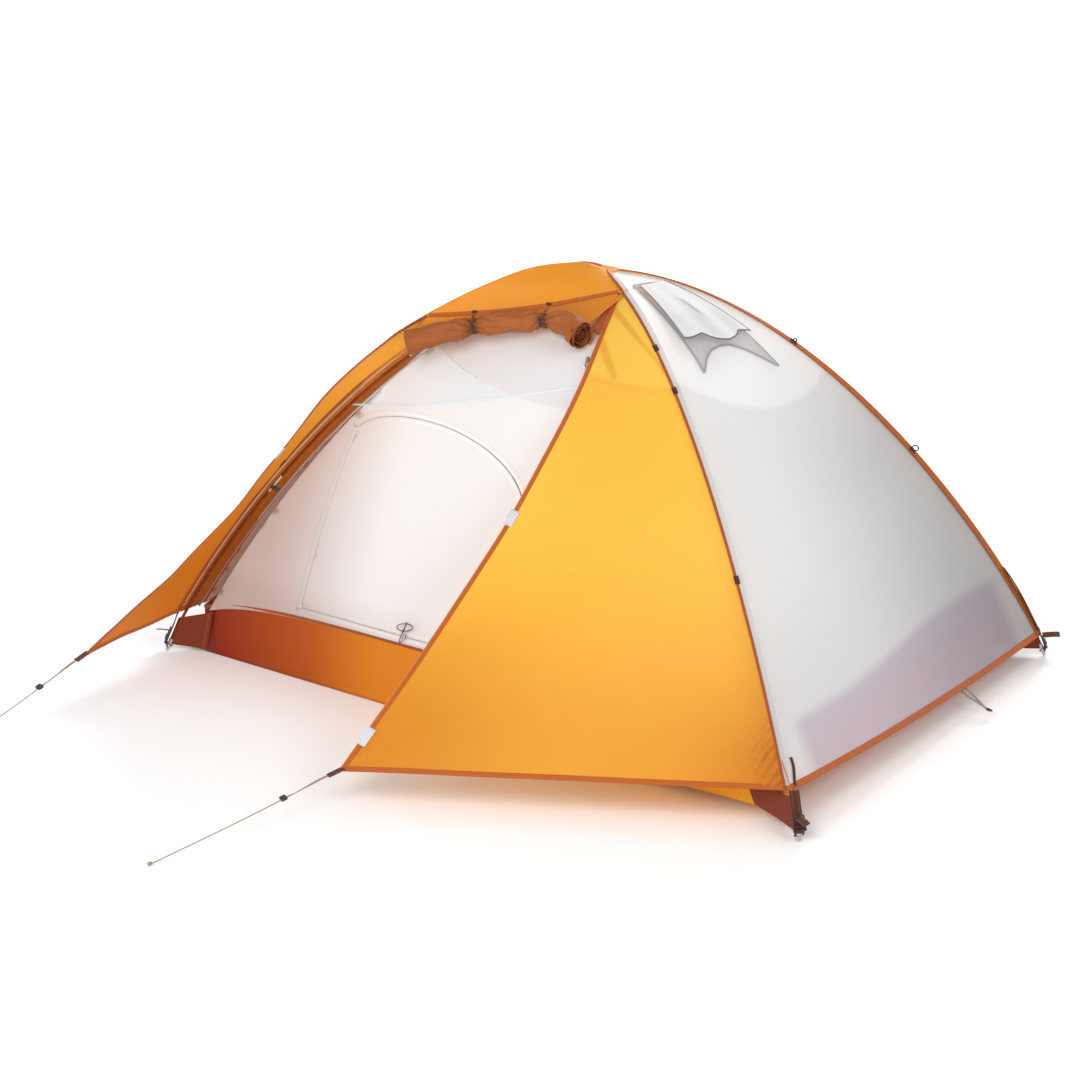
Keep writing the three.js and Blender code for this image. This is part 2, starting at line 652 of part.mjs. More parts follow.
const leftRows = steps(FLAP_ROWS).map((s) => {
  const back = ridge(mix(LEFT_FLAP_RIDGE_START, flyReach(FRONT_HEM), s), -1, -1);
  const front = frontEdge.getPointAt(mix(LEFT_FLAP_FRONT_START, 1, s));
  return [pulledIn(back, front, SEAM_GAP), back.clone().lerp(front, 0.5), front];
});
const leftTip = leftRows[FLAP_ROWS][2];
const leftStake = vec(-1065, -1655, 5);
add("fly_flap_left", join(shell(leftRows, { inside: vec(0, -400, 300) }),
  webbingTab(leftTip, leftStake.clone().sub(leftTip))), orangeCloth);

const zipEdge = new THREE.CatmullRomCurve3([
  vec(92, -101, 1112), vec(107, -377, 846), vec(88, -663, 591), vec(45, -956, 342),
  vec(-7, -1227, 120),
]);
const rightRows = steps(FLAP_ROWS).map((s) => {
  const back = ridge(mix(RIGHT_FLAP_RIDGE_START, flyReach(FRONT_HEM), s), 1, -1);
  const front = zipEdge.getPointAt(s);
  return [front, ...[1, 2, 3].map((k) => front.clone().lerp(back, k / 4)),
    pulledIn(back, front, SEAM_GAP)];
});
const rightTip = rightRows[FLAP_ROWS][0];
const rightStake = vec(-217, -1732, 5);
add("fly_flap_right", join(shell(rightRows, { inside: vec(300, -300, 200) }),
  webbingTab(rightTip, rightStake.clone().sub(rightTip))), orangeCloth);

// The slider of the fly door's zip, parked high on the right flap's edge.
const FLY_SLIDER_AT = 0.13;
const flySlider = frameAt(zipEdge.getPointAt(FLY_SLIDER_AT), zipEdge.getTangentAt(FLY_SLIDER_AT));
const teardrop = disc(5, 10);
teardrop.holes.push(disc(2.4, 10));
add("fly_zip_slider", join(
  new THREE.BoxGeometry(10, 6, 14).translate(0, 0, 0),
  prism(teardrop, 2).rotateX(Math.PI / 2).scale(1, 1, 2.2).translate(0, 1, 16),
).translate(0, 7, 0), silverMetal, flySlider);

// ---- the rolled-up door and the two ties that hold it ----------------------------------------

const rollLine = new THREE.CatmullRomCurve3([
  vec(-392, -400, 978), vec(-320, -358, 1002), vec(-240, -306, 1026), vec(-148, -256, 1042),
  vec(-54, -222, 1056), vec(10, -212, 1052), vec(66, -212, 1042),
]);
const ROLL_THICK = 29;
const ROLL_PINCH = 18;
const TIE_AT = [0.36, 0.74];
const TIE_SPREAD = 0.06;
const TIE = { clearance: 2.2, thickness: 2.3, width: 7 };
const TOGGLE = { radius: 3.5, length: 30, out: 8.5 };
const rollRadius = (t) => {
  const pinch = Math.max(...TIE_AT.map((at) => Math.exp(-Math.pow((t - at) / TIE_SPREAD, 2))));
  const flare = (t < 0.5 ? 2 : 10) * Math.pow(Math.abs(2 * t - 1), 3);
  return mix(ROLL_THICK + flare, ROLL_PINCH, pinch);
};
const ROLL_SIDES = 12;
const rollRings = steps(24).map((t) => {
  const centre = rollLine.getPointAt(t);
  const along = rollLine.getTangentAt(t);
  const x = vec(0, 0, 1).addScaledVector(along, -along.z).normalize();
  const y = new THREE.Vector3().crossVectors(along, x);
  return steps(ROLL_SIDES).slice(0, ROLL_SIDES).map((k) => centre.clone()
    .addScaledVector(x, rollRadius(t) * Math.cos(2 * Math.PI * k))
    .addScaledVector(y, rollRadius(t) * Math.sin(2 * Math.PI * k)));
});
add("rolled_door", loft(rollRings), rolledCloth);

TIE_AT.forEach((at, k) => {
  const name = k === 0 ? "left" : "right";
  const group = frameAt(rollLine.getPointAt(at), rollLine.getTangentAt(at));
  const band = disc(ROLL_PINCH + TIE.clearance + TIE.thickness, 16);
  band.holes.push(disc(ROLL_PINCH + TIE.clearance, 16));
  add(`roll_tie_${name}`, prism(band, TIE.width).translate(0, 0, -TIE.width / 2), brownWebbing,
    group);
  // the toggle lies across the band's front, which faces the door side
  const toggle = new THREE.Group();
  toggle.rotation.z = Math.PI / 2;
  group.add(toggle);
  add(`roll_toggle_${name}`,
    new THREE.CylinderGeometry(TOGGLE.radius, TOGGLE.radius, TOGGLE.length, 10)
      .translate(ROLL_PINCH + TOGGLE.out, 0, 0), darkPlastic, toggle);
});

// ---- guylines ----------------------------------------------------------------------------------

const RUNNER_AT = 0.24;
const KNOT_RADIUS = 4.5;
const RUNNER = { halfWidth: 4, halfHeight: 8, length: 16, clearance: 0.6 };
function guyline(name, tip, stake) {
  const along = stake.clone().sub(tip).normalize();
  const start = tip.clone().addScaledVector(along, TAB_LENGTH - TAB_SEWN + FIT_GAP);
  const line = new THREE.LineCurve3(start, stake);
  const knot = new THREE.SphereGeometry(KNOT_RADIUS, 10, 6).translate(stake.x, stake.y, stake.z);
  add(`guyline_${name}`, join(tube(line, CORD_RADIUS, 64), knot), greyCord);
  const runner = rectangle(-RUNNER.halfWidth, -RUNNER.halfHeight, RUNNER.halfWidth,
    RUNNER.halfHeight);
  runner.holes.push(disc(CORD_RADIUS + RUNNER.clearance, 8));
  add(`guyline_runner_${name}`, prism(runner, RUNNER.length), darkPlastic,
    frameAt(line.getPointAt(RUNNER_AT), line.getTangentAt(RUNNER_AT)));
}
guyline("right", rightTip, rightStake);
guyline("left", leftTip, leftStake);

export default tent;
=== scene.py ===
# A pitched two-pole dome tent: orange and white flysheet, white inner tent with an orange floor.
import math

import bpy
import numpy as np
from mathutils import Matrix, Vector, geometry, noise


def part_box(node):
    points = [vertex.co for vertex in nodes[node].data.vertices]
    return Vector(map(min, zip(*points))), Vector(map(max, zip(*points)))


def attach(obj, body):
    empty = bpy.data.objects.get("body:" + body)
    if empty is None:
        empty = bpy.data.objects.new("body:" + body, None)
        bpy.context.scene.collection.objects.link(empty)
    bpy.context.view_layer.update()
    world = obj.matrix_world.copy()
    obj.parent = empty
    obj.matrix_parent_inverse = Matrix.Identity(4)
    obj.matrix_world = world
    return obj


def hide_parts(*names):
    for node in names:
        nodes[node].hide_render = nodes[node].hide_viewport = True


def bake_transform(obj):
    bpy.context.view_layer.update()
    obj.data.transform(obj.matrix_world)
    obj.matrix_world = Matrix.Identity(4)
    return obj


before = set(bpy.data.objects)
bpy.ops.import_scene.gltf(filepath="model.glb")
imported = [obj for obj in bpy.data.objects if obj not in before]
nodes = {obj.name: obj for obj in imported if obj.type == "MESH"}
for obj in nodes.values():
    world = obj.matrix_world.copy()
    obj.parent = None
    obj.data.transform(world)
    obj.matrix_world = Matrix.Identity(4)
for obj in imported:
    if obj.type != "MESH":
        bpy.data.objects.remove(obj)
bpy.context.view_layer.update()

scene = bpy.context.scene

# ---- camera, light, floor -------------------------------------------------------------------


def aim(obj, at):
    obj.rotation_euler = (Vector(at) - obj.location).to_track_quat("-Z", "Y").to_euler()


camera = bpy.data.objects.new("camera", bpy.data.cameras.new("camera"))
scene.collection.objects.link(camera)
camera.location = (4.4995, -6.8770, 3.6695)
aim(camera, (-0.227, 0, 0.298))
camera.data.lens = 104.03
camera.data.sensor_width = 36
camera.data.clip_end = 60
scene.camera = camera
scene.view_settings.view_transform = "Standard"

# a soft white surround lights the tent; what is seen directly behind it is pure white
AMBIENT, BACKDROP = 0.62, 1.0
world = bpy.data.worlds.new("studio")
scene.world = world
world.use_nodes = True
shaders, wires = world.node_tree.nodes, world.node_tree.links
surround, backdrop = shaders["Background"], shaders.new("ShaderNodeBackground")
for light, strength in ((surround, AMBIENT), (backdrop, BACKDROP)):
    light.inputs["Color"].default_value = (1, 1, 1, 1)
    light.inputs["Strength"].default_value = strength
seen_directly = shaders.new("ShaderNodeLightPath")
either = shaders.new("ShaderNodeMixShader")
wires.new(seen_directly.outputs["Is Camera Ray"], either.inputs[0])
wires.new(surround.outputs[0], either.inputs[1])
wires.new(backdrop.outputs[0], either.inputs[2])
wires.new(either.outputs[0], shaders["World Output"].inputs[0])


def softbox(name, at, towards, size, power):
    light = bpy.data.lights.new(name, "AREA")
    light.shape = "DISK"
    light.size = size
    light.energy = power
    obj = bpy.data.objects.new(name, light)
    obj.location = at
    scene.collection.objects.link(obj)
    aim(obj, towards)


softbox("key", (1.6, -4.4, 3.6), (0.1, -0.4, 0.5), 2.2, 112)
softbox("right", (4.6, -1.6, 3.8), (0.6, -0.1, 0.6), 2.0, 62)
softbox("front_fill", (-1.6, -5.2, 1.5), (-0.1, -0.5, 0.5), 1.6, 45)
softbox("behind", (-0.8, 3.6, 3.2), (0, 0.2, 0.6), 2.0, 130)

# ---- materials ------------------------------------------------------------------------------


# relief of the cloths and tapes, in metres
WEAVE, THREAD_HEIGHT, CRUMPLE_HEIGHT = 0.0024, 0.00003, 0.02
RIB_HEIGHT, STITCH_WIDTH, STITCH_PITCH, STITCH_DEPTH = 0.00012, 0.0012, 0.0042, 0.0004
MESH_CELL, MESH_HEIGHT, GRAIN_HEIGHT = 0.0035, 0.0003, 0.0002


class Tree:
    """Short names for building one material's nodes."""

    def __init__(self, name):
        self.material = bpy.data.materials.new(name)
        self.material.use_nodes = True
        self.nodes = self.material.node_tree.nodes
        self.nodes.clear()
        self.out = self.nodes.new("ShaderNodeOutputMaterial")

    def add(self, kind, **inputs):
        node = self.nodes.new("ShaderNode" + kind)
        for key, value in inputs.items():
            if hasattr(node, key) and key[0].islower():
                setattr(node, key, value)
            else:
                self.feed(node.inputs[key.replace("_", " ")], value)
        return node

    def feed(self, socket, value):
        if isinstance(value, bpy.types.NodeSocket):
            self.material.node_tree.links.new(value, socket)
        elif isinstance(value, bpy.types.Node):
            self.material.node_tree.links.new(value.outputs[0], socket)
        else:
            socket.default_value = value

    def math(self, operation, a, b=0.0, clamp=False):
        node = self.nodes.new("ShaderNodeMath")
        node.operation = operation
        node.use_clamp = clamp
        self.feed(node.inputs[0], a)
        self.feed(node.inputs[1], b)
        return node.outputs[0]

    def mix(self, factor, a, b, blend="MIX"):
        node = self.nodes.new("ShaderNodeMix")
        node.data_type = "RGBA"
        node.blend_type = blend
        self.feed(node.inputs[0], factor)
        self.feed(node.inputs[6], a)
        self.feed(node.inputs[7], b)
        return node.outputs[2]

    def uv(self):
        node = self.add("UVMap", uv_map="weave")
        parts = self.add("SeparateXYZ", Vector=node.outputs[0])
        return parts.outputs[0], parts.outputs[1]

    def noise(self, scale, detail=3.0, roughness=0.5):
        place = self.add("TexCoord").outputs["Object"]
        node = self.add("TexNoise", Vector=place, Scale=scale, Detail=detail)
        node.inputs["Roughness"].default_value = roughness
        return node.outputs[0]

    def wave(self, along, pitch):
        return self.math("SINE", self.math("MULTIPLY", along, 2 * math.pi / pitch))

    def uneven(self, colour, level, *parts):
        """A colour times a grey: a level plus parts, each a value and how much it counts."""
        grey = level
        for value, amount in parts:
            grey = self.math("ADD", grey, self.math("MULTIPLY", value, amount))
        grey = self.add("CombineColor", Red=grey, Green=grey, Blue=grey)
        return self.mix(1.0, tuple(colour), grey, "MULTIPLY")

    def toned(self, base):
        """A colour times the shade that the mesh holds at each of its points."""
        held = self.add("Attribute", attribute_name="tone")
        return self.mix(1.0, base, held.outputs["Color"], "MULTIPLY")

    def skin(self, base, bump, rough, shine, sheen=0.0, **more):
        node = self.add("BsdfPrincipled", Base_Color=base, Normal=bump, Roughness=rough, **more)
        node.inputs["Specular IOR Level"].default_value = shine
        node.inputs["Sheen Weight"].default_value = sheen
        return node

    def shaders(self, share, first, second):
        """Two shaders in one: the second takes that share of the light."""
        node = self.add("MixShader")
        for socket, value in zip(node.inputs, (share, first, second)):
            self.feed(socket, value)
        return node

    def finish(self, shader):
        self.feed(self.out.inputs["Surface"], shader)
        return self.material


def rgb(r, g, b):
    """A colour as it shows on a screen, 0 to 255, as Blender's linear numbers."""
    return tuple(
        (c / 255 / 12.92 if c / 255 < 0.04045 else ((c / 255 + 0.055) / 1.055) ** 2.4)
        for c in (r, g, b)
    ) + (1.0,)


def cloth(name, colour, *, glow=0.3, glow_colour=None, sheer=0.0, rough=0.5, mottle=0.08,
          crumple=0.0):
    """Thin woven cloth: a plain weave, a little uneven colour, light coming through."""
    t = Tree(name)
    u, v = t.uv()
    threads = t.math("MULTIPLY", t.wave(u, WEAVE), t.wave(v, WEAVE))
    base = t.toned(t.uneven(colour, 1 - mottle / 2, (t.noise(2.2, 4.0), mottle),
                            (threads, 0.015)))
    height = t.math("MULTIPLY", threads, THREAD_HEIGHT)
    if crumple:
        folds = t.noise(9.0, 5.0, 0.55)
        height = t.math("ADD", height, t.math("MULTIPLY", folds, CRUMPLE_HEIGHT * crumple))
    bump = t.add("Bump", Height=height, Strength=0.6, Distance=1.0)
    skin = t.skin(base, bump, rough, 0.25, 0.1)
    skin.inputs["Sheen Roughness"].default_value = 0.4
    through = base if glow_colour is None else t.mix(0.5, base, tuple(glow_colour))
    both = t.shaders(glow, skin, t.add("BsdfTranslucent", Color=through, Normal=bump))
    if sheer:
        both = t.shaders(sheer, both, t.add("BsdfTransparent"))
    return t.finish(both)


def webbing(name, colour, pitch=0.0022, stitches=None):
    """Woven tape: ribs across it, and two rows of stitches along it if asked."""
    t = Tree(name)
    u, v = t.uv()
    twill = t.wave(t.math("ADD", u, v), pitch * 1.6)
    base = t.uneven(colour, 0.86, (t.noise(55.0, 3.0), 0.22), (twill, 0.05))
    height = t.math("MULTIPLY", t.math("ADD", t.wave(u, pitch), twill), RIB_HEIGHT)
    if stitches:
        offset, thread = stitches
        from_row = t.math("SUBTRACT", t.math("ABSOLUTE", v), offset)
        near = t.math("LESS_THAN", t.math("ABSOLUTE", from_row), STITCH_WIDTH / 2)
        dash = t.math("GREATER_THAN", t.wave(u, STITCH_PITCH), -0.35)
        base = t.mix(t.math("MULTIPLY", near, dash), base, tuple(thread))
        height = t.math("SUBTRACT", height, t.math("MULTIPLY", near, STITCH_DEPTH))
    bump = t.add("Bump", Height=height, Strength=0.7, Distance=1.0)
    return t.finish(t.skin(base, bump, 0.75, 0.3, 0.15))


def hard(name, colour, rough=0.4, metal=0.0, worn=None, grain=60.0):
    """Moulded plastic or metal: fine grain, and a lighter worn tint on its high spots."""
    t = Tree(name)
    speck = t.noise(grain, 4.0, 0.6)
    worn_colour = tuple(worn) if worn else tuple(min(1, c * 1.6) for c in colour[:3]) + (1,)
    wear = t.math("MULTIPLY", t.math("SUBTRACT", speck, 0.45), 1.6, clamp=True)
    base = t.mix(wear, tuple(colour), worn_colour)
    height = t.math("MULTIPLY", t.noise(grain * 12, 2.0), GRAIN_HEIGHT)
    bump = t.add("Bump", Height=height, Strength=0.35, Distance=1.0)
    rough = t.math("ADD", rough - 0.06, t.math("MULTIPLY", speck, 0.12))
    return t.finish(t.skin(base, bump, rough, 0.5, Metallic=metal))


def mesh_cloth(name, colour, open_share):
    """Insect mesh: a net of threads with gaps between them."""
    t = Tree(name)
    u, v = t.uv()
    gap = t.math("MULTIPLY", t.wave(u, MESH_CELL), t.wave(v, MESH_CELL))
    base = t.toned(t.uneven(colour, 0.86, (t.noise(14.0, 3.0), 0.28)))
    height = t.math("MULTIPLY", gap, MESH_HEIGHT)
    bump = t.add("Bump", Height=height, Strength=0.6, Distance=1.0)
    skin = t.skin(base, bump, 0.8, 0.15)
    both = t.shaders(0.25, skin, t.add("BsdfTranslucent", Color=base, Normal=bump))
    return t.finish(t.shaders(open_share, both, t.add("BsdfTransparent")))


ORANGE = cloth("orange_cloth", rgb(250, 198, 76), glow=0.34, glow_colour=rgb(255, 170, 30),
               rough=0.48, crumple=0.10)
WHITE = cloth("white_cloth", rgb(249, 250, 251), glow=0.30, sheer=0.05, rough=0.5, mottle=0.04,
              crumple=0.06)
INNER = cloth("inner_cloth", rgb(248, 251, 252), glow=0.30, rough=0.7, mottle=0.03, crumple=0.05)
FLOOR = cloth("floor_cloth", rgb(236, 146, 30), glow=0.22, glow_colour=rgb(255, 150, 30),
              rough=0.5, crumple=0.22)
# the rolled door is the orange cloth, painted a darker brown as shade
ROLLED_PAINTED_SHADE = cloth("rolled_cloth", rgb(168, 94, 44), glow=0.18, rough=0.55, crumple=0.35,
               mottle=0.2)
MESH = mesh_cloth("vent_mesh", rgb(216, 216, 218), open_share=0.3)
HOOD = cloth("hood_cloth", rgb(238, 240, 242), glow=0.3, sheer=0.10, rough=0.55, crumple=0.12)
BROWN = webbing("brown_binding", rgb(172, 82, 20), stitches=(0.0030, rgb(198, 112, 40)))
SEAM = webbing("seam_piping", rgb(150, 72, 28), pitch=0.003)
DARK_WEB = webbing("dark_webbing", rgb(76, 34, 18), stitches=(0.0078, rgb(150, 90, 55)))
GREY_WEB = webbing("grey_webbing", rgb(150, 140, 136), stitches=(0.0040, rgb(205, 200, 196)))
PALE_TAB = webbing("pale_tab", rgb(206, 204, 210), pitch=0.0012)
GUSSET = webbing("gusset_cloth", rgb(118, 42, 8), stitches=(0.012, rgb(196, 112, 50)))
CORD = webbing("braided_cord", rgb(158, 132, 116), pitch=0.0030)
BROWN_CORD = webbing("brown_cord", rgb(96, 54, 34), pitch=0.0030)
PLASTIC = hard("dark_plastic", rgb(58, 36, 30), 0.42)
POLE = hard("bronze_tube", rgb(128, 54, 22), 0.32, 0.75, worn=rgb(176, 96, 52), grain=40)
METAL = hard("tip_metal", rgb(190, 190, 192), 0.3, 0.95, worn=rgb(225, 225, 228))
COIL = hard("zip_coil", rgb(196, 120, 60), 0.5)

# ---- mesh helpers ---------------------------------------------------------------------------


def unit(v):
    v = np.asarray(v, float)
    length = np.linalg.norm(v, axis=-1, keepdims=True)
    return v / np.where(length < 1e-12, 1, length)


def mix(a, b, t):
    return a + (b - a) * t


def smooth(x, low, high):
    """0 below low, 1 above high, and a soft step between."""
    t = np.clip((np.asarray(x, float) - low) / (high - low), 0, 1)
    return t * t * (3 - 2 * t)


def turns(count):
    """Angles once round, without the last."""
    return np.linspace(0, 2 * math.pi, count, endpoint=False)


def noise_at(points, size=1.0, seed=0.0):
    """Smooth noise at each point, from -1 to 1."""
    return np.array([noise.noise(Vector(p / size) + Vector((seed, 0, 0))) for p in points])


def build(name, verts, faces, material, body="root", uv=None, tone=None, replaces=()):
    """A mesh with its weave in metres and the shade of each point."""
    mesh = bpy.data.meshes.new(name)
    mesh.from_pydata([tuple(map(float, p)) for p in verts], [], [tuple(map(int, f)) for f in faces])
    layer = mesh.uv_layers.new(name="weave")
    if uv is None:
        uv = np.asarray(verts, float)[:, :2]
    index = np.empty(len(mesh.loops), int)
    mesh.loops.foreach_get("vertex_index", index)
    layer.data.foreach_set("uv", np.asarray(uv, float)[index].ravel())
    shades = mesh.color_attributes.new("tone", "FLOAT_COLOR", "POINT")
    rgba = np.ones((len(verts), 4))
    if tone is not None:
        tone = np.asarray(tone, float)
        rgba[:, :3] = tone if tone.ndim == 2 else tone[:, None]
    shades.data.foreach_set("color", rgba.ravel())
    mesh.polygons.foreach_set("use_smooth", [True] * len(mesh.polygons))
    mesh.materials.append(material)
    mesh.update()
    obj = bpy.data.objects.new(name, mesh)
    scene.collection.objects.link(obj)
    if body:
        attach(obj, body)
    if replaces:
        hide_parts(*replaces)
    return obj


def build_grid(name, grid, material, tone=None, *, moved=None, ring=False, **more):
    """Cloth over a grid of points; moved holds where they lie once it has folds."""
    verts = np.reshape(grid if moved is None else moved, (-1, 3))
    if tone is not None:
        tone = np.broadcast_to(tone, grid.shape).reshape(-1, 3)
    return build(name, verts, grid_faces(*grid.shape[:2], ring), material, uv=grid_uv(grid),
                 tone=tone, **more)


def recolour(material, *names):
    """Gives pieces that stay as the frame holds them their material."""
    for name in names:
        nodes[name].data.materials.clear()
        nodes[name].data.materials.append(material)


def lengths(points):
    """How far along a line of points each one is."""
    steps = np.linalg.norm(np.diff(points, axis=0), axis=1)
    return np.concatenate([[0], np.cumsum(steps)])


def resample(points, count):
    points = np.asarray(points, float)
    s = lengths(points)
    want = np.linspace(0, s[-1], count)
    return np.stack([np.interp(want, s, points[:, k]) for k in range(points.shape[1])], 1)


def spline(points, per=40):
    """A smooth line through the points, a centripetal Catmull-Rom curve."""
    p = [np.array(q, float) for q in points]
    p = [2 * p[0] - p[1], *p, 2 * p[-1] - p[-2]]
    out = []
    for i in range(1, len(p) - 2):
        p0, p1, p2, p3 = p[i - 1 : i + 3]
        d0, d1, d2 = (max(np.linalg.norm(b - a) ** 0.5, 1e-4)
                      for a, b in ((p0, p1), (p1, p2), (p2, p3)))
        t1 = ((p1 - p0) / d0 - (p2 - p0) / (d0 + d1) + (p2 - p1) / d1) * d1
        t2 = ((p2 - p1) / d1 - (p3 - p1) / (d1 + d2) + (p3 - p2) / d2) * d1
        for t in np.linspace(0, 1, per, endpoint=False):
            out.append(p1 + t1 * t + (3 * (p2 - p1) - 2 * t1 - t2) * t * t
                       + (2 * (p1 - p2) + t1 + t2) * t**3)
    out.append(p[-2])
    return np.array(out)


class Line:
    """A smooth line that gives its point at a share of its length."""

    def __init__(self, points, per=40):
        self.points = spline(points, per)
        self.s = lengths(self.points) / lengths(self.points)[-1]

    def at(self, t):
        t = np.clip(t, 0, 1)
        return np.stack([np.interp(t, self.s, self.points[:, k]) for k in range(3)], -1)

    def along(self, t):
        return unit(self.at(np.asarray(t) + 0.004) - self.at(np.asarray(t) - 0.004))


def grid_faces(rows, cols, ring=False):
    faces = []
    for i in range(rows - 1):
        for j in range(cols if ring else cols - 1):
            k = (j + 1) % cols
            faces.append((i * cols + j, i * cols + k, (i + 1) * cols + k, (i + 1) * cols + j))
    return faces


def grid_uv(points):
    """Lengths along the rows and columns of a grid, in metres, for the weave."""
    down = np.cumsum(np.linalg.norm(np.diff(points, axis=0, prepend=points[:1]), axis=2), axis=0)
    across = np.cumsum(np.linalg.norm(np.diff(points, axis=1, prepend=points[:, :1]), axis=2),
                       axis=1)
    return np.stack([across, down], -1).reshape(-1, 2)


def grid_normals(points):
    return unit(np.cross(np.gradient(points, axis=0), np.gradient(points, axis=1)))


def inside(points, outline):
    """Which of the points lie inside a closed outline in the plane."""
    x, y = points[:, 0], points[:, 1]
    found = np.zeros(len(points), bool)
    for (x0, y0), (x1, y1) in zip(outline, np.roll(outline, -1, axis=0)):
        if y0 == y1:
            continue
        crosses = (y0 > y) != (y1 > y)
        found ^= crosses & (x < (x1 - x0) * (y - y0) / (y1 - y0) + x0)
    return found


def panel(outline, step, holes=()):
    """Triangles about one step wide that fill an outline in the plane, round its holes."""
    def evenly(loop):
        loop = np.vstack([loop, loop[:1]])
        s = lengths(loop)
        parts = []
        for a, b, d in zip(loop[:-1], loop[1:], np.diff(s)):
            n = max(1, round(d / step))
            parts.append(a + (b - a) * np.arange(n)[:, None] / n)
        return np.vstack(parts)

    loops = [evenly(np.asarray(o, float)) for o in (outline, *holes)]
    points, edges = [], []
    for one in loops:
        first = len(points)
        points.extend(one)
        edges.extend((first + k, first + (k + 1) % len(one)) for k in range(len(one)))
    border = np.array(points)
    low, high = loops[0].min(0), loops[0].max(0)
    rows = np.arange(low[1], high[1], step * 0.87)
    grid = np.array([(x + (step / 2 if r % 2 else 0), y) for r, y in enumerate(rows)
                     for x in np.arange(low[0], high[0], step)])
    keep = inside(grid, loops[0])
    for hole in loops[1:]:
        keep &= ~inside(grid, hole)
    grid = grid[keep]
    gaps = [np.linalg.norm(border - p, axis=1).min() for p in grid]
    points = np.vstack([border, grid[np.array(gaps) > step * 0.55]])
    made = geometry.delaunay_2d_cdt([Vector(p) for p in points], edges, [], 0, 1e-7)
    flat = np.array([tuple(v) for v in made[0]])
    middles = np.array([flat[list(f)].mean(0) for f in made[2]])
    good = inside(middles, loops[0])
    for hole in loops[1:]:
        good &= ~inside(middles, hole)
    return flat, [f for f, ok in zip(made[2], good) if ok]


def strap(name, path, across, width, thickness, material, body="root", bevel=0.3, replaces=(),
          tone=None):
    """A flat woven strip along a line, with rounded edges, closed at both ends."""
    path = np.asarray(path, float)
    across = np.broadcast_to(np.asarray(across, float), path.shape)
    along = unit(np.gradient(path, axis=0))
    across = unit(across - (across * along).sum(1, keepdims=True) * along)
    up = np.cross(along, across)
    w, h = width / 2, thickness / 2
    tall, wide = 1 - bevel, 1 - bevel * 0.4
    section = [(-1, -tall), (-1, tall), (-wide, 1), (wide, 1), (1, tall), (1, -tall), (wide, -1),
               (-wide, -1)]
    rings = np.stack([path + across * w * a + up * h * b for a, b in section], 1)
    s = lengths(path)
    uv = np.stack([np.stack([s, np.full(len(s), w * a)], 1) for a, _ in section], 1)
    faces = grid_faces(len(path), len(section), ring=True)
    faces.append(tuple(range(len(section)))[::-1])
    faces.append(tuple((len(path) - 1) * len(section) + k for k in range(len(section))))
    rings = rings.reshape(-1, 3)
    return build(name, rings, faces, material, body, uv.reshape(-1, 2),
                 tone(rings) if tone else None, replaces)


def tape(name, path, facing, width, thickness, material, body="root", tone=None):
    """A strap that lies flat on a surface, which faces that way."""
    across = np.cross(unit(np.gradient(path, axis=0)), facing)
    return strap(name, path, across, width, thickness, material, body, tone=tone)


def tube(name, path, radius, material, body="root", sides=12, replaces=(), closed=False):
    """A round bar along a line; the radius may change along it."""
    path = np.asarray(path, float)
    radius = np.broadcast_to(radius, len(path))
    along = unit(np.gradient(path, axis=0))
    side = np.cross(along[0], [0, 0, 1.0])
    if np.linalg.norm(side) < 0.1:
        side = np.cross(along[0], [0, 1.0, 0])
    frames = []
    for direction in along:
        side = unit(side - direction * side.dot(direction))
        frames.append((side, np.cross(direction, side)))
    angle = turns(sides)
    rings = [p + r * (np.cos(angle)[:, None] * a + np.sin(angle)[:, None] * b)
             for p, r, (a, b) in zip(path, radius, frames)]
    s = lengths(path)
    uv = np.array([(d, r * t) for d, r in zip(s, radius) for t in angle])
    faces = grid_faces(len(path), sides, ring=True)
    if closed:
        last = (len(path) - 1) * sides
        faces += [(last + j, last + (j + 1) % sides, (j + 1) % sides, j) for j in range(sides)]
    else:
        faces.append(tuple(range(sides))[::-1])
        faces.append(tuple((len(path) - 1) * sides + k for k in range(sides)))
    return build(name, np.vstack(rings), faces, material, body, uv, replaces=replaces)


def solid(name, outline, depth, origin, x_axis, y_axis, material, body="root", holes=(),
          bevel=0.0006, replaces=()):
    """A plate of that outline, with rounded edges, in a frame of its own."""
    flat, faces = panel(outline, 10.0, holes)
    x_axis, y_axis = unit(x_axis), unit(y_axis)
    z_axis = np.cross(x_axis, y_axis)
    count = len(flat)
    verts = [np.array(origin) + x_axis * p[0] + y_axis * p[1] + z_axis * z
             for z in (-depth / 2, depth / 2) for p in flat]
    turned = []
    for f in faces:
        a, b, c = flat[list(f[:3])]
        turn = (b[0] - a[0]) * (c[1] - a[1]) - (b[1] - a[1]) * (c[0] - a[0])
        turned.append(f if turn > 0 else f[::-1])
    shared = dict.fromkeys((f[k], f[(k + 1) % len(f)]) for f in turned for k in range(len(f)))
    all_faces = [tuple(k + count for k in f) for f in turned] + [tuple(f[::-1]) for f in turned]
    all_faces += [(a, b, b + count, a + count) for a, b in shared if (b, a) not in shared]
    obj = build(name, verts, all_faces, material, body, replaces=replaces)
    modifier = obj.modifiers.new("bevel", "BEVEL")
    modifier.width = bevel
    modifier.segments = 2
    modifier.limit_method = "ANGLE"
    for p in obj.data.polygons:
        p.use_smooth = False
    return obj


def rough_up(points, normals, size, amount, seed=0.0):
    """Soft uneven folds: each point moves a little along its normal."""
    return points + normals * (noise_at(points, size, seed) * amount)[:, None]


def darken(tone, share, *amounts):
    """Takes up to those amounts off red, green and blue, as much as share says."""
    tone *= 1 - np.asarray(share)[..., None] * np.array(amounts)


# ---- the arc that poles and fly share --------------------------------------------------------

PEAK, HALF_LENGTH, HALF_WIDTH = 1.152, 1.064, 0.714


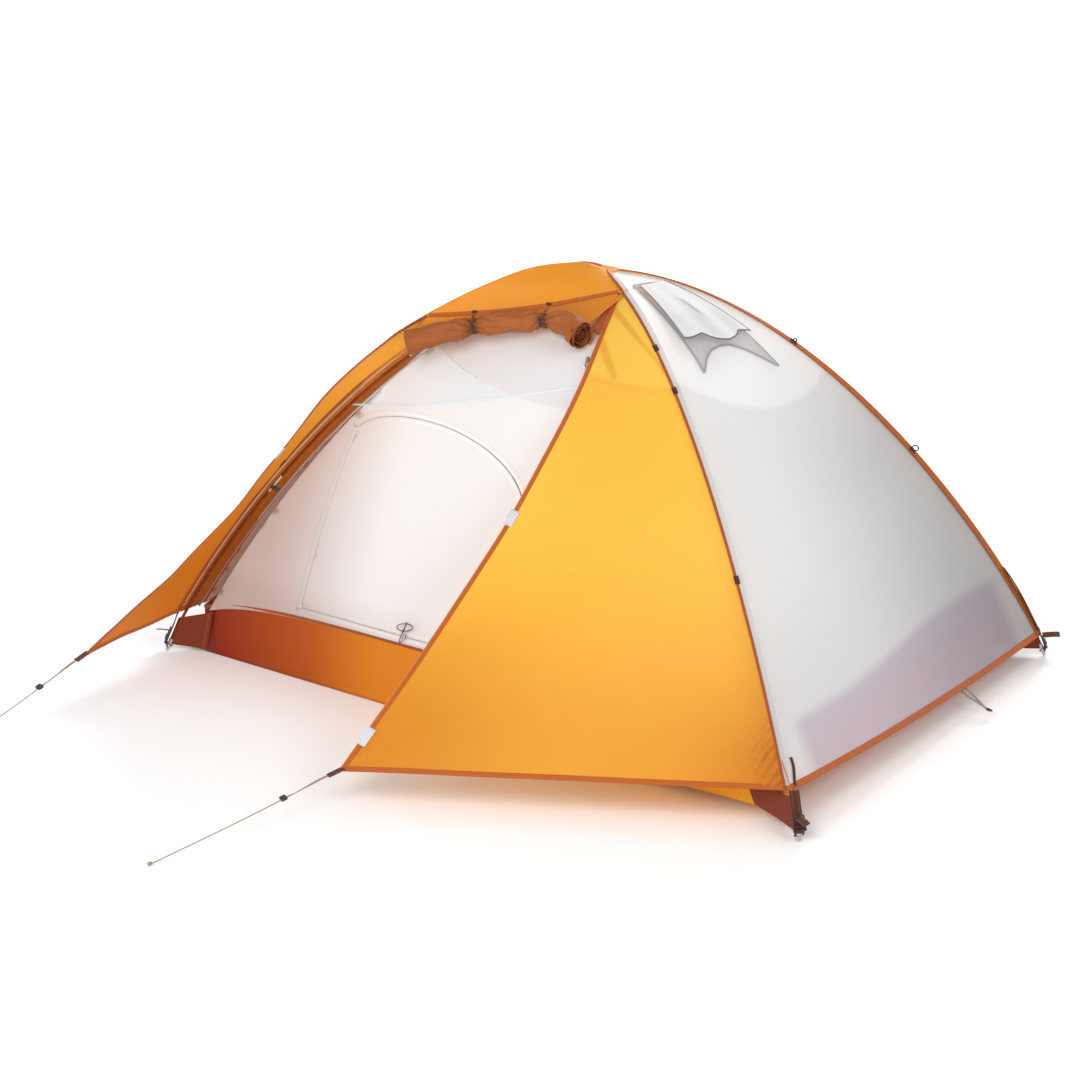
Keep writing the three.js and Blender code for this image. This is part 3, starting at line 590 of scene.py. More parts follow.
def arc(u):
    return (1 - np.minimum(np.abs(u), 1) ** 1.8) ** 0.9


def reach(z):
    return (1 - (np.asarray(z, float) / PEAK) ** (1 / 0.9)) ** (1 / 1.8)


def ridge(u, side_x, side_y):
    u = np.asarray(u, float)
    return np.stack([side_x * HALF_LENGTH * u, side_y * HALF_WIDTH * u, PEAK * arc(u)], -1)


# ---- lines that several pieces share ---------------------------------------------------------

SIDES = ((1, "right"), (-1, "left"))
FRONT_HEM, SIDE_HEM, REAR_HEM = 0.125, 0.066, 0.072  # heights of the fly's hems
FRONT_END, REAR_END = float(reach(FRONT_HEM)), float(reach(REAR_HEM))  # where the ridges end
RIDGE_START = 0.02  # the cloths start this share of a ridge away from the peak
WRAP = 0.017  # the white side cloth folds over the front ridge by this much


def back_wrap(u):
    """How far the orange back cloth folds over the rear ridge, less towards the peak."""
    return np.minimum(mix(0.012, 0.028, smooth(np.asarray(u, float), 0.08, 0.55)), u)


front_edge = Line([
    (-0.030, -0.032, 1.162), (-0.145, -0.140, 1.158), (-0.230, -0.235, 1.125),
    (-0.370, -0.350, 1.045), (-0.455, -0.440, 0.967), (-0.565, -0.530, 0.841),
    (-0.690, -0.590, 0.658), (-0.810, -0.665, 0.477), (-0.915, -0.800, 0.316),
    (-1.043, -1.050, 0.118)])
zip_edge = Line([
    (0.092, -0.101, 1.112), (0.107, -0.377, 0.846), (0.088, -0.663, 0.591),
    (0.045, -0.956, 0.342), (-0.007, -1.227, 0.120)])
BROW_END = 0.262  # share of the front edge that is the brow's
FLAP_TOP, LEFT_TOP = 0.113, 0.432  # where the flaps start down the two front ridges

# the side profile, as height and reach against the length down the cloth
_u = np.linspace(0, 1, 4001)
_profile = np.stack([HALF_LENGTH * _u, PEAK * arc(_u)], 1)
_down = lengths(_profile)


def down_at(x):
    """Length down the side cloth from the peak, at a distance out along X."""
    return np.interp(x, _profile[:, 0], _down)


def down_ridge(u):
    """Length down the side cloth from the peak, level with the ridge at u."""
    return down_at(HALF_LENGTH * u)


def side_point(s, y, side, lift=0.0):
    """A point on the side cloth: s down it, y along it, lift above it."""
    x, z = np.interp(s, _down, _profile[:, 0]), np.interp(s, _down, _profile[:, 1])
    slope = unit(np.stack([np.interp(s + 0.002, _down, _profile[:, k])
                           - np.interp(s - 0.002, _down, _profile[:, k]) for k in (0, 1)], -1))
    return np.stack([side * (x - slope[..., 1] * lift), y + 0 * x, z + slope[..., 0] * lift], -1)


def side_hem(t):
    return SIDE_HEM + (FRONT_HEM - SIDE_HEM) * ((1 - t) / 2) ** 2


def flap_edge(side, u):
    """On the front ridge at u: the point, and the direction along the orange cloth from it."""
    start = FLAP_TOP if side > 0 else LEFT_TOP
    s = np.clip((np.asarray(u, float) - start) / (FRONT_END - start), 0, 1)
    front = zip_edge.at(s) if side > 0 else front_edge.at(mix(BROW_END, 1, s))
    brow = front_edge.at(BROW_END * np.clip((u - RIDGE_START) / (start - RIDGE_START), 0, 1))
    front = np.where((u < start)[:, None], brow, front)
    points = ridge(u, side, -1)
    return points, unit(front - points)


# ---- the white side panels and their vents ---------------------------------------------------

# The vent's outline in plan, x outwards: a flat top, two long tips and an arch between them.
VENT = [(0.112, -0.044), (0.122, 0.000), (0.150, 0.074), (0.236, 0.103), (0.345, 0.128),
        (0.462, 0.150), (0.427, 0.112), (0.395, 0.075), (0.370, 0.035), (0.362, -0.005),
        (0.363, -0.050), (0.376, -0.090), (0.402, -0.142), (0.362, -0.124), (0.300, -0.104),
        (0.220, -0.082)]


def vent_outline(grow=0.0):
    loop = np.array([(down_at(x), y) for x, y in VENT])
    loop = loop + unit(loop - [down_at(0.27), 0.0]) * grow
    return loop


def side_tone(y, z):
    """Painted shade: darker below the inner cap's seam, lower down, towards the back and where the
    floor's wall shows through, with a faint line at the seam.
    """
    seam = 0.835 + 0.16 * ((y - 0.12) / 0.42) ** 2
    below = smooth(z, seam + 0.004, seam - 0.006)
    far = smooth(y, -0.25, 0.60) * smooth(z, 1.04, 0.62)
    rim = 0.252 + 0.014 * np.sin(y * 5.0)
    tub = smooth(z, rim + 0.022, rim - 0.012) * smooth(np.abs(y), 0.60, 0.52)
    shade = 1 - 0.105 * below - 0.31 * far - 0.075 * smooth(z, 0.62, 0.20)
    colour = shade[..., None] * (1 - tub[..., None] * np.array([0.20, 0.285, 0.20]))
    line = np.exp(-((z - seam) / 0.006) ** 2) * smooth(np.abs(y), 0.42, 0.3)
    return colour * (1 - 0.05 * line)[..., None]


def corner_folds(points, normals, corner, axis, spread, amount, count, length=0.12):
    """Fine folds that fan out from a pulled corner."""
    d = points - np.asarray(corner)
    r = np.linalg.norm(d, axis=1)
    axis = unit(axis)
    aside = np.cross(normals, axis)
    angle = np.arctan2((d * aside).sum(1), (d * axis).sum(1))
    wobble = noise_at(np.stack([angle * 5.0, r * 9.0, np.full(len(r), 3.0)], 1))
    wave = np.sin(angle * count + wobble * 3.0)
    fade = smooth(r, 0.0, 0.02) * np.exp(-(r / length) ** 2)
    fade *= smooth(np.abs(angle), spread, spread * 0.5)
    return points + normals * (wave * fade * amount)[:, None]


u = np.linspace(RIDGE_START, float(reach(side_hem(-1))), 70)
front = np.stack([down_ridge(u), -HALF_WIDTH * u], 1)
t = np.linspace(-1, 1, 60)[1:-1]
u = reach(side_hem(t))
hem = np.stack([down_ridge(u), HALF_WIDTH * u * t], 1)
u = np.linspace(float(reach(side_hem(1))), RIDGE_START, 70)
back = np.stack([down_ridge(u), HALF_WIDTH * u - 0.010], 1)
side_flat, side_faces = panel(np.vstack([front, hem, back]), 0.0145, [vent_outline()])
net, net_faces = panel(vent_outline(0.004), 0.012)
rim_loop = vent_outline(0.002)
rim_loop = resample(np.vstack([rim_loop, rim_loop[:1]]), 160)

HOOD_HINGE = (0.128, 1.13506)  # how far out and how high its top edge turns
HOOD_TURN = -math.radians(4.0)  # how far it stands open
HOOD_ROWS, HOOD_COLUMNS = 33, 61

for side, label in SIDES:
    s, y = side_flat.T
    points = side_point(s, y, side)
    normals = unit(side_point(s, y, side, 1.0) - points)
    width = np.maximum(HALF_WIDTH * np.abs(points[:, 0]) / HALF_LENGTH, 0.02)
    share = np.clip(y / width, -1, 1)
    taut = (1 - share**2) * np.sin(np.pi * np.clip(s / s.max(), 0, 1)) ** 0.7
    points = points - normals * (0.009 * taut)[:, None]
    above_hem = down_ridge(reach(side_hem(share))) - s
    free = smooth(1 - np.abs(share), 0.0, 0.10) * smooth(above_hem, 0.004, 0.03)
    points = rough_up(points, normals, 0.21, 0.0040 * free, 2.0 + side)
    points = corner_folds(points, normals, ridge(FRONT_END, side, -1), (-side * 0.1, 0.75, 0.65),
                          0.9, 0.0034 * free, 18)
    peg_loop = side_point(down_ridge(float(reach(side_hem(0.33)))), 0.232, side)
    points = corner_folds(points, normals, peg_loop, (0, 0, 1), 1.2, 0.0030 * free, 12)
    # the same cloth folds over the front ridge, just above the orange
    u = np.linspace(0.021, FRONT_END, 110)
    on_ridge, inwards = flap_edge(side, u)
    across = unit(np.cross(np.gradient(on_ridge, axis=0), inwards))
    across *= np.sign(across[:, 2:])
    fold = np.stack([on_ridge, on_ridge + inwards * WRAP + across * 0.0016], 1)
    fold_faces = [tuple(len(points) + k for k in f) for f in grid_faces(len(u), 2)]
    fold_uv = np.stack([np.repeat(lengths(on_ridge), 2), np.tile([0, WRAP], len(u))], 1)
    # painted shade: the fold is darker than the side cloth on the right; on the left it is tinted
    # orange-brown
    fold_tone = side_tone(-HALF_WIDTH * u, on_ridge[:, 2])
    fold_tone *= 0.76 if side > 0 else np.array([0.62, 0.26, 0.08])
    sheet = build(f"side_cloth_{label}", np.vstack([points, fold.reshape(-1, 3)]),
                  [tuple(f) for f in side_faces] + fold_faces, WHITE,
                  uv=np.vstack([side_flat, fold_uv]),
                  tone=np.vstack([side_tone(y, points[:, 2]), np.repeat(fold_tone, 2, axis=0)]),
                  replaces=[f"fly_side_{label}"])

    # the vent's net, and the rim where it is sewn in
    s, y = net.T
    lift = -0.0035 - 0.004 * np.sin(np.clip((s - 0.1) / 0.35, 0, 1) * np.pi)
    shadow = 1 - 0.10 * smooth(s, down_at(0.345), down_at(0.30))
    net_sheet = build(f"vent_net_{label}", side_point(s, y, side, lift), net_faces, MESH, uv=net,
                      tone=shadow, replaces=[f"vent_mesh_{label}"])
    s, y = rim_loop.T
    rim = side_point(s, y, side, 0.0008)
    tape(f"vent_rim_{label}", rim, unit(side_point(s, y, side, 0.01) - rim), 0.0045, 0.0014,
         webbing(f"vent_rim_{label}", rgb(146, 146, 150)))

    # the hood: two scallops along its lower edge, held up along its middle
    y = np.linspace(-1, 1, HOOD_COLUMNS)
    a = np.linspace(0, 1, HOOD_ROWS)[:, None]
    scallop = 0.016 * np.abs(np.cos(np.pi * np.clip((y - 0.10) / 1.1, -1, 1))) ** 0.8
    low = np.interp(y, [-1, 0.1, 1], [0.318, 0.378, 0.378]) - 0.018 + scallop
    x = mix(0.124 + 0.02 * (y + 1) / 2, low, a)
    points = side_point(down_at(x), mix(0.047, 0.124, a) * y + 0.012 * (1 - a), side, 0.0052)
    dx, dz = side * points[..., 0] - HOOD_HINGE[0], points[..., 2] - HOOD_HINGE[1]
    x = HOOD_HINGE[0] + dx * math.cos(HOOD_TURN) + dz * math.sin(HOOD_TURN)
    z = HOOD_HINGE[1] - dx * math.sin(HOOD_TURN) + dz * math.cos(HOOD_TURN)
    z += 0.0022 * np.sin(y * 9.0) * a**2 + 0.003 * a * np.exp(-((y - 0.1) / 0.3) ** 2)
    z -= 0.0035 * a * np.abs(y) ** 3
    points = np.stack([side * x, points[..., 1], z], -1)
    # painted shade: darker pleats run down it, the net and the prop's shadow show through as grey
    # patches, and it darkens in a band near its lower edge and at its sides
    pleat = np.exp(-((np.abs(y + 0.10 - 0.35 * a) - 0.02) / 0.05) ** 2)
    pleat = pleat * smooth(a, 0.25, 0.4) * smooth(a, 0.78, 0.62)
    low_band = smooth(a, 0.60, 0.66) * smooth(a, 0.985, 0.93)
    prop = smooth(np.abs(y - 0.10), 0.10, 0.05) * smooth(a, 0.34, 0.40) * smooth(a, 0.64, 0.58)
    shade = 0.95 - 0.04 * np.sin(y * 7 + a * 3) - 0.13 * pleat - 0.04 * low_band - 0.26 * prop
    shade -= 0.12 * smooth(np.abs(y), 0.93, 0.99)
    hood = build_grid(f"hood_cloth_{label}", points, HOOD, shade[..., None],
                      body=f"hood_{label}", replaces=[f"vent_hood_{label}"])
    for k, (edge, beside) in enumerate(((0, 1), (-1, -2)), 1):
        inward = unit(points[:, beside] - points[:, edge])
        strap(f"hood_side_{label}_{k}", points[:, edge] + inward * 0.0015, inward, 0.0034, 0.0012,
              webbing(f"hood_side_{label}_{k}", rgb(112, 112, 116)), f"hood_{label}")
    outward = unit(points[-1] - points[-2])
    strap(f"hood_hem_{label}", points[-1] - outward * 0.002, outward, 0.0045, 0.0016,
          webbing(f"hood_hem_{label}", rgb(92, 92, 96)), f"hood_{label}")
    recolour(hard(f"prop_plastic_{label}", rgb(112, 110, 114), 0.5), f"vent_prop_{label}")

# ---- the orange back panel -------------------------------------------------------------------

ROWS, COLUMNS = 90, 91
BACK_FOLD_TONE = (0.52, 0.21, 0.08)
s, t = np.meshgrid(np.linspace(0, 1, ROWS), np.linspace(-1, 1, COLUMNS), indexing="ij")
u = mix(RIDGE_START, reach(REAR_HEM - 0.014 * (1 - t * t)), s)
back = np.stack([HALF_LENGTH * u * t, HALF_WIDTH * u, PEAK * arc(u)], -1)
normals = grid_normals(back)
normals *= np.sign(normals[..., 1:2] + 1e-9)
back = back - normals * (0.010 * (1 - t**2) * np.sin(np.pi * s) ** 0.7)[..., None]
free = (smooth(1 - np.abs(t), 0.0, 0.06) * smooth(s, 0.0, 0.06)).ravel()
normals = normals.reshape(-1, 3)
flat_back = rough_up(back.reshape(-1, 3), normals, 0.22, 0.0045 * free, 7.0)
for side in (1, -1):
    flat_back = corner_folds(flat_back, normals, ridge(REAR_END, side, 1), (-side * 0.7, 0, 0.7),
                             0.8, 0.0028, 20)
verts, faces, uvs = [flat_back], grid_faces(ROWS, COLUMNS), [grid_uv(back)]
u = np.linspace(0.024, REAR_END, ROWS)
for k, side in enumerate((1, -1)):
    edge = ridge(u, side, 1)
    fold = side_point(down_ridge(u), HALF_WIDTH * u - back_wrap(u), side, 0.0022)
    verts.append(np.stack([edge, fold], 1).reshape(-1, 3))
    first = ROWS * COLUMNS + 2 * ROWS * k
    faces += [tuple(first + k for k in f) for f in grid_faces(ROWS, 2)]
    uvs.append(np.stack([np.repeat(lengths(edge), 2), np.tile([0, 0.028], ROWS)], 1))
verts = np.vstack(verts)
# the back is toned a deeper orange than the front flap, and its folds over the rear ridges are
# darker still; painted shade darkens it low down, where the floor's wall stands behind it
tone = np.ones(verts.shape) * (0.95, 0.72, 0.52)
tone[ROWS * COLUMNS:] = BACK_FOLD_TONE
darken(tone, smooth(verts[:, 2], 0.26, 0.235), 0.06, 0.12, 0.1)
back_sheet = build("back_cloth", verts, faces, ORANGE, uv=np.vstack(uvs), tone=tone,
                   replaces=["fly_back"])
back_grid = flat_back.reshape(ROWS, COLUMNS, 3)

# ---- the brow over the door --------------------------------------------------------------------

ROWS, REAR, AHEAD = 50, 22, 39  # columns behind the door's edge, and from there to the right ridge
# painted shade: the brow is painted darker than the lit flap, as it faces away from the light
BROW_PAINTED_SHADE = (0.93, 0.64, 0.42)
to_front, to_right = np.linspace(0, 1, REAR)[:, None], np.linspace(0, 1, AHEAD + 1)[1:, None]
rows = []
for s in np.linspace(0, 1, ROWS):
    left = ridge(mix(RIDGE_START, LEFT_TOP + 0.006, s), -1, -1)
    right = ridge(mix(RIDGE_START, FLAP_TOP - 0.001, s), 1, -1)
    front = front_edge.at((BROW_END + 0.004) * s) + [0, 0, 0.0165 * (1 - s)]
    front = mix(np.array([-0.004, -0.010, PEAK + 0.0025]), front, smooth(s, 0.0, 0.07))
    behind = left + (front - left) * to_front**0.9
    behind[:, 2:] += np.sin(to_front * np.pi) * 0.010 * s
    ahead = front + (right - front) * to_right
    ahead[:, 2:] -= 0.016 * np.sin(to_right * np.pi) * s**1.5
    rows.append(np.vstack([behind, ahead]))
brow = np.array(rows)
edge_on = np.minimum(np.arange(REAR + AHEAD), np.arange(REAR + AHEAD)[::-1])
free = np.minimum(1, np.arange(ROWS) / 5)[:, None] * np.minimum(1, edge_on / 5)
points = rough_up(brow.reshape(-1, 3), grid_normals(brow).reshape(-1, 3), 0.12,
                  0.0045 * free.ravel(), 11.0)
# painted shade: darker still behind the door's edge, and ahead of it darker towards that edge
tone = np.ones(brow.shape) * BROW_PAINTED_SHADE
tone[:, :REAR] *= (0.86, 0.80, 0.80)
tone[:, REAR:] *= 1 - smooth(np.linspace(0, 1, AHEAD), 0.95, 0.1)[:, None] * 0.10
brow_sheet = build_grid("brow_cloth", brow, ORANGE, tone, moved=points, replaces=["fly_brow"])
brow_grid = points.reshape(brow.shape)
brow_low = brow_grid[-1]
angle = turns(32)
patch = np.array([np.stack([HALF_LENGTH * r * np.cos(angle), HALF_WIDTH * r * 1.5 * np.sin(angle),
                            np.full(32, PEAK + 0.0022 - 2.6 * r * r)], -1)
                  for r in np.linspace(0.001, 0.026, 5)])
build("peak_patch", patch.reshape(-1, 3), grid_faces(5, 32, ring=True), ORANGE,
      tone=np.ones((160, 3)) * BROW_PAINTED_SHADE)

# ---- the two front flaps -----------------------------------------------------------------------

ROWS, COLUMNS = 200, 150  # closer together towards the hem and the ridge, where the folds are
down = 1 - (1 - np.linspace(0, 1, ROWS)) ** 1.6
out = 1 - (1 - np.linspace(0, 1, COLUMNS)) ** 1.6


def on_flap(down_share, out_share):
    """A point on the right flap: down from its top, out from the zip to the ridge."""
    front = zip_edge.at(down_share)
    return front + (ridge(mix(FLAP_TOP, FRONT_END, down_share), 1, -1) - front) * out_share


flap = np.array([on_flap(s, out[:, None]) for s in down])
normals = grid_normals(flap)
normals *= np.sign(normals[..., 2:3] + 1e-9)
s, a = np.meshgrid(down, out, indexing="ij")
flap = flap - normals * (0.012 * np.sin(np.pi * a) * np.sin(np.pi * s) ** 0.8)[..., None]
flat_flap, n = flap.reshape(-1, 3), normals.reshape(-1, 3)
free = smooth(1 - a, 0.0, 0.08).ravel()
flat_flap = rough_up(flat_flap, n, 0.26, 0.0055 * free, 17.0)
flat_flap = rough_up(flat_flap, n, 0.075, 0.0009 * free, 18.0)
fr_corner, right_tip = ridge(FRONT_END, 1, -1), zip_edge.at(1.0)
flat_flap = corner_folds(flat_flap, n, fr_corner, (-0.62, -0.1, 0.55), 1.0, 0.0016, 24)
# gathers run down and inwards from the last hand's breadth of the ridge seam
GATHER_PITCH, GATHER_HEIGHT, GATHER_LEAN = 0.0190, 0.0056, math.radians(46)
up_seam = unit(ridge(FRONT_END - 0.05, 1, -1) - fr_corner)
into = unit(np.cross(normals[-20, -20], up_seam))
into = into * np.sign(into @ (right_tip - fr_corner))
rise, deep = (flat_flap - fr_corner) @ up_seam, (flat_flap - fr_corner) @ into
wander = noise_at(np.stack([rise * 10, deep * 10, np.full(len(rise), 5.0)], 1))
phase = rise * math.sin(GATHER_LEAN) + deep * math.cos(GATHER_LEAN)
wave = 1 - 2 * np.abs(np.sin(np.pi * (phase / GATHER_PITCH + 1.1 * wander))) ** 0.65
hold = smooth(rise, 0.25, 0.10) * np.exp(-(deep / 0.085) ** 2) * (0.50 + 1.1 * np.abs(wander))
flat_flap = flat_flap - n * (wave * hold * smooth(deep, 0.012, 0.026) * GATHER_HEIGHT)[:, None]
valleys = np.clip(wave * 1.5 * hold, 0, 1).reshape(ROWS, COLUMNS)
flat_flap = corner_folds(flat_flap, n, right_tip, (0.5, 0.4, 0.5), 0.7, 0.0020, 14, 0.10)


def along_run(start, end, width):
    """1 on the straight run between two points of the flap, falling to 0 beside it."""
    run = np.asarray(end) - start
    t = np.clip(((flap - start) @ run) / (run @ run), 0, 1)
    gap = np.linalg.norm(flap - start - t[..., None] * run, axis=-1)
    return smooth(gap, width, width * 0.45)


# painted light and shade: lighter above the inner cap's seam line, the seam line itself, darker
# towards the ground and low by the zip, and the painted shadows of the pole and the door's strap
# that show through
px, pz = flap[..., 0], flap[..., 2]
seam_from, seam_to = zip_edge.at(0.160), ridge(0.388, 1, -1)
seam_share = np.clip((px - seam_from[0]) / (seam_to[0] - seam_from[0]), 0, 1)
seam_z = mix(seam_from[2], seam_to[2], seam_share) - 0.010 * np.sin(np.pi * seam_share)
tone = np.ones(flap.shape)
darken(tone, smooth(pz - seam_z, -0.003, 0.004), -0.02, -0.12, -0.30)
darken(tone, np.exp(-((pz - seam_z) / 0.006) ** 2), 0.04, 0.10, 0.16)
darken(tone, smooth(pz, 0.72, 0.14), 0.21, 0.39, 0.68)
darken(tone, smooth(a, 0.55, 0.0) * smooth(pz, 0.55, 0.15), 0.22, 0.38, 0.52)
darken(tone, along_run(zip_edge.at(0.02), ridge(0.385, 1, -1), 0.0115), 0.14, 0.30, 0.42)
darken(tone, along_run(on_flap(0.10, 0.10), on_flap(0.21, 0.45), 0.016), 0.12, 0.24, 0.34)
# and painted shade for the folds: darker valleys, a darker drawn-up corner and a darker strip along
# the ridge
darken(tone, valleys, 0.34, 0.54, 0.62)
darken(tone, np.exp(-(np.linalg.norm(flap - fr_corner, axis=-1) / 0.22) ** 2), 0.22, 0.42, 0.54)
darken(tone, np.exp(-((1 - a) / 0.06) ** 2) * smooth(s, 0.15, 0.3), 0.08, 0.17, 0.17)
flap_sheet = build_grid("flap_cloth_right", flap, ORANGE, tone, moved=flat_flap,
                        replaces=["fly_flap_right"])
flap_grid = flat_flap.reshape(flap.shape)


def left_tone(grid, light, deep):
    """Painted shade: the left flap and its facing darken towards the ground."""
    return mix(np.array(light), np.array(deep), smooth(grid[..., 2], 0.95, 0.25)[..., None])


LEFT_ROWS, LEFT_COLUMNS = 90, 30
s, a = np.meshgrid(np.linspace(0, 1, LEFT_ROWS), np.linspace(0, 1, LEFT_COLUMNS), indexing="ij")
back_edge = ridge(mix(LEFT_TOP - 0.006, FRONT_END, s), -1, -1)
left = back_edge + (front_edge.at(mix(BROW_END - 0.005, 1, s)) - back_edge) * a[..., None]
normals = grid_normals(left)
normals *= np.sign(-normals[..., 0:1] + 1e-9)
left = left + normals * (0.008 * np.sin(np.pi * a) * np.sin(np.pi * s) ** 0.8)[..., None]
left[:6] -= [0, 0, 0.002]
n = normals.reshape(-1, 3)
flat_left = rough_up(left.reshape(-1, 3), n, 0.14, 0.005 * smooth(a, 0.0, 0.15).ravel(), 23.0)
flat_left = corner_folds(flat_left, n, front_edge.at(1.0), (0.1, 0.7, 0.7), 0.8, 0.0022, 16, 0.10)
left_sheet = build_grid("flap_cloth_left", left, ORANGE,
                        left_tone(left, (0.98, 0.66, 0.42), (0.62, 0.23, 0.07)),
                        moved=flat_left, replaces=["fly_flap_left"])
left_grid = flat_left.reshape(left.shape)

# its cloth turns in behind the ridge as a facing, which the pole lies against
u = np.linspace(0.10, FRONT_END, 80)
wide = np.minimum(0.25 * HALF_LENGTH * u, 0.165)
facing = np.array([side_point(down_ridge(u), -HALF_WIDTH * u + a * wide - 0.002, -1,
                              -0.003 - 0.08 * a * wide) for a in np.linspace(0, 1, 12)])
facing_sheet = build_grid("flap_facing_left", facing, ORANGE,
                          left_tone(facing, (1.0, 0.64, 0.40), (0.62, 0.24, 0.08)))

# ---- bindings, seam piping, hems, tabs ---------------------------------------------------------


def binding(name, edge, inner, width):
    """A folded tape over a cloth's edge; inner is the cloth's next line of points."""
    edge = resample(edge, 160)
    inwards = unit(resample(inner, 160) - edge)
    strap(name, edge + inwards * (width / 2 - 0.0015), inwards, width, 0.0030, BROWN)


binding("bind_flap_right_front", flap_grid[:, 0], flap_grid[:, 4], 0.013)
binding("bind_flap_right_hem", flap_grid[-1], flap_grid[-12], 0.014)
binding("bind_flap_left_front", left_grid[:, -1], left_grid[:, -5], 0.014)
binding("bind_flap_left_hem", left_grid[-1], left_grid[-4], 0.013)
binding("bind_brow_low", brow_low[REAR:-2], brow_grid[-4, REAR:-2], 0.012)
binding("bind_back_hem", back_grid[-1], back_grid[-4], 0.016)
for side, label in SIDES:
    t = np.linspace(-1, 1, 120)
    hem_u = reach(side_hem(t))
    s, y = down_ridge(hem_u), HALF_WIDTH * hem_u * t
    binding(f"bind_side_hem_{label}", side_point(s, y, side),
            side_point(s - 0.03, y * 0.985, side), 0.018)
    # piping where the white cloth ends on the orange, and where the orange ends on the white
    on_ridge, inwards = flap_edge(side, np.linspace(0.021, FRONT_END, 180))
    line = on_ridge + inwards * WRAP
    lift = unit(np.cross(np.gradient(line, axis=0), inwards))
    lift *= np.sign(lift[:, 2:])
    strap(f"piping_front_{label}", line + lift * 0.0016, inwards, 0.0075, 0.0030, SEAM, bevel=0.45)
    u = np.linspace(0.03, REAR_END, 140)
    line = side_point(down_ridge(u), HALF_WIDTH * u - back_wrap(u), side, 0.0030)
    strap(f"piping_back_{label}", line, (0, 1, 0), 0.0050, 0.0022, SEAM, bevel=0.45)


def pale_tab(name, edge, inner, row, inset, lift, half_long, wide, thick):
    """A hook-and-loop tab folded over a flap's front edge."""
    inward = unit(inner[row] - edge[row])
    run = unit(edge[row + 3] - edge[row - 3])
    up = unit(np.cross(run, inward))
    at = edge[row] + inward * inset + up * np.sign(up[2]) * lift
    strap(name, [at + run * d for d in np.linspace(-half_long, half_long, 8)], inward, wide, thick,
          PALE_TAB)


for k, (share, half_long) in enumerate(((0.459, 0.0234), (0.927, 0.0270)), 1):
    pale_tab(f"pale_tab_right_{k}", flap_grid[:, 0], flap_grid[:, 6],
             int(np.searchsorted(down, share)), 0.006, 0.0016, half_long, 0.026, 0.0030)
pale_tab("pale_tab_left", left_grid[:, -1], left_grid[:, -6], 38, 0.010, 0, 0.02, 0.028, 0.0046)

# the zip's coil under the right flap's front tape, with its teeth
TEETH = 900
edge = resample(flap_grid[:, 0], TEETH)
inward = unit(resample(flap_grid[:, 4], TEETH) - edge)
tube("zip_coil_fly", edge - inward * 0.0022, 0.0016 + 0.0005 * (np.arange(TEETH) % 2), COIL,
     sides=6)
recolour(METAL, "fly_zip_slider")

# ---- guy loops on the seams --------------------------------------------------------------------


def guy_loop(name, at, out, along, size):
    """A short webbing loop sewn flat to a seam: a tacked foot and a standing eye."""
    side = unit(np.cross(out, along))
    strap(f"{name}_foot", [at + out * 0.004 + along * d for d in np.linspace(-0.011, 0.011, 6)],
          side, 0.013, 0.0022, DARK_WEB)
    eye = [at + out * (0.004 + size * 0.5 * (1 - math.cos(a))) + along * size * 0.42 * math.sin(a)
           for a in turns(24)]
    tube(f"{name}_eye", eye, 0.0019, DARK_WEB, sides=8, closed=True)


def off_ridge(run, side_x, side_y):
    """The direction out of the fly, square to a run along one of its ridges."""
    return unit(np.cross(run, np.cross(unit([side_x, side_y, 0.6]), run)))


def seam_frame(side_x, side_y, u):
    """Where a loop sits beside the ridge's seam, which way is out, and along."""
    u = np.array([u])
    p = ridge(u, side_x, side_y)[0]
    run = unit((ridge(u + 0.01, side_x, side_y) - ridge(u - 0.01, side_x, side_y))[0])
    if side_y < 0:
        return p + flap_edge(side_x, u)[1][0] * WRAP, off_ridge(run, side_x, side_y), run
    place = down_ridge(u[0]), HALF_WIDTH * u[0] - 0.013, side_x
    p = side_point(*place)
    return p, unit(side_point(*place, 1.0) - p), run


for name, side_x, side_y, u, size in (
    ("fr_high", 1, -1, 0.285, 0.011), ("fr_mid", 1, -1, 0.385, 0.011),
    ("fr_low", 1, -1, 0.705, 0.011), ("br_high", 1, 1, 0.405, 0.011),
    ("br_low", 1, 1, 0.672, 0.020), ("fl_high", -1, -1, 0.30, 0.011),
    ("fl_low", -1, -1, 0.70, 0.011), ("bl_high", -1, 1, 0.405, 0.011),
    ("bl_low", -1, 1, 0.672, 0.020),
):
    guy_loop(f"guy_loop_{name}", *seam_frame(side_x, side_y, u), size)

# ---- poles -------------------------------------------------------------------------------------

TIP = 0.0055  # height of a pole's end above the ground
FOOT = (1.050, 0.700)
POLE_PEAK = {"a": 1.137, "b": 1.1280}
POLE_RADIUS, TIP_LENGTH, SECTIONS = 0.00425, 0.0345, 6


def pole_point(key, u):
    turn = 1 if key == "a" else -1
    return np.stack([FOOT[0] * u, -turn * FOOT[1] * u, TIP + (POLE_PEAK[key] - TIP) * arc(u)], -1)


for key in "ab":
    line = resample(pole_point(key, np.linspace(-1, 1, 4001)), 4001)
    s = lengths(line)

    def stretch(a, b, count):
        want = np.linspace(a, b, count)
        return np.stack([np.interp(want, s, line[:, k]) for k in range(3)], 1)

    tube(f"pole_{key}_tubes", stretch(0.030, s[-1] - 0.030, 400), POLE_RADIUS, POLE, sides=16,
         replaces=[f"pole_{key}_section_{k}" for k in range(1, SECTIONS + 1)])
    section = (s[-1] - 2 * TIP_LENGTH) / SECTIONS
    shape = np.full(30, 0.00475)
    shape[[0, -1]], shape[[14, 15]] = 0.0043, 0.0044
    for k in range(1, SECTIONS):
        middle = TIP_LENGTH + section * k
        tube(f"pole_{key}_ferrule_{k}", stretch(middle - 0.030, middle + 0.030, 30), shape, METAL,
             sides=16)


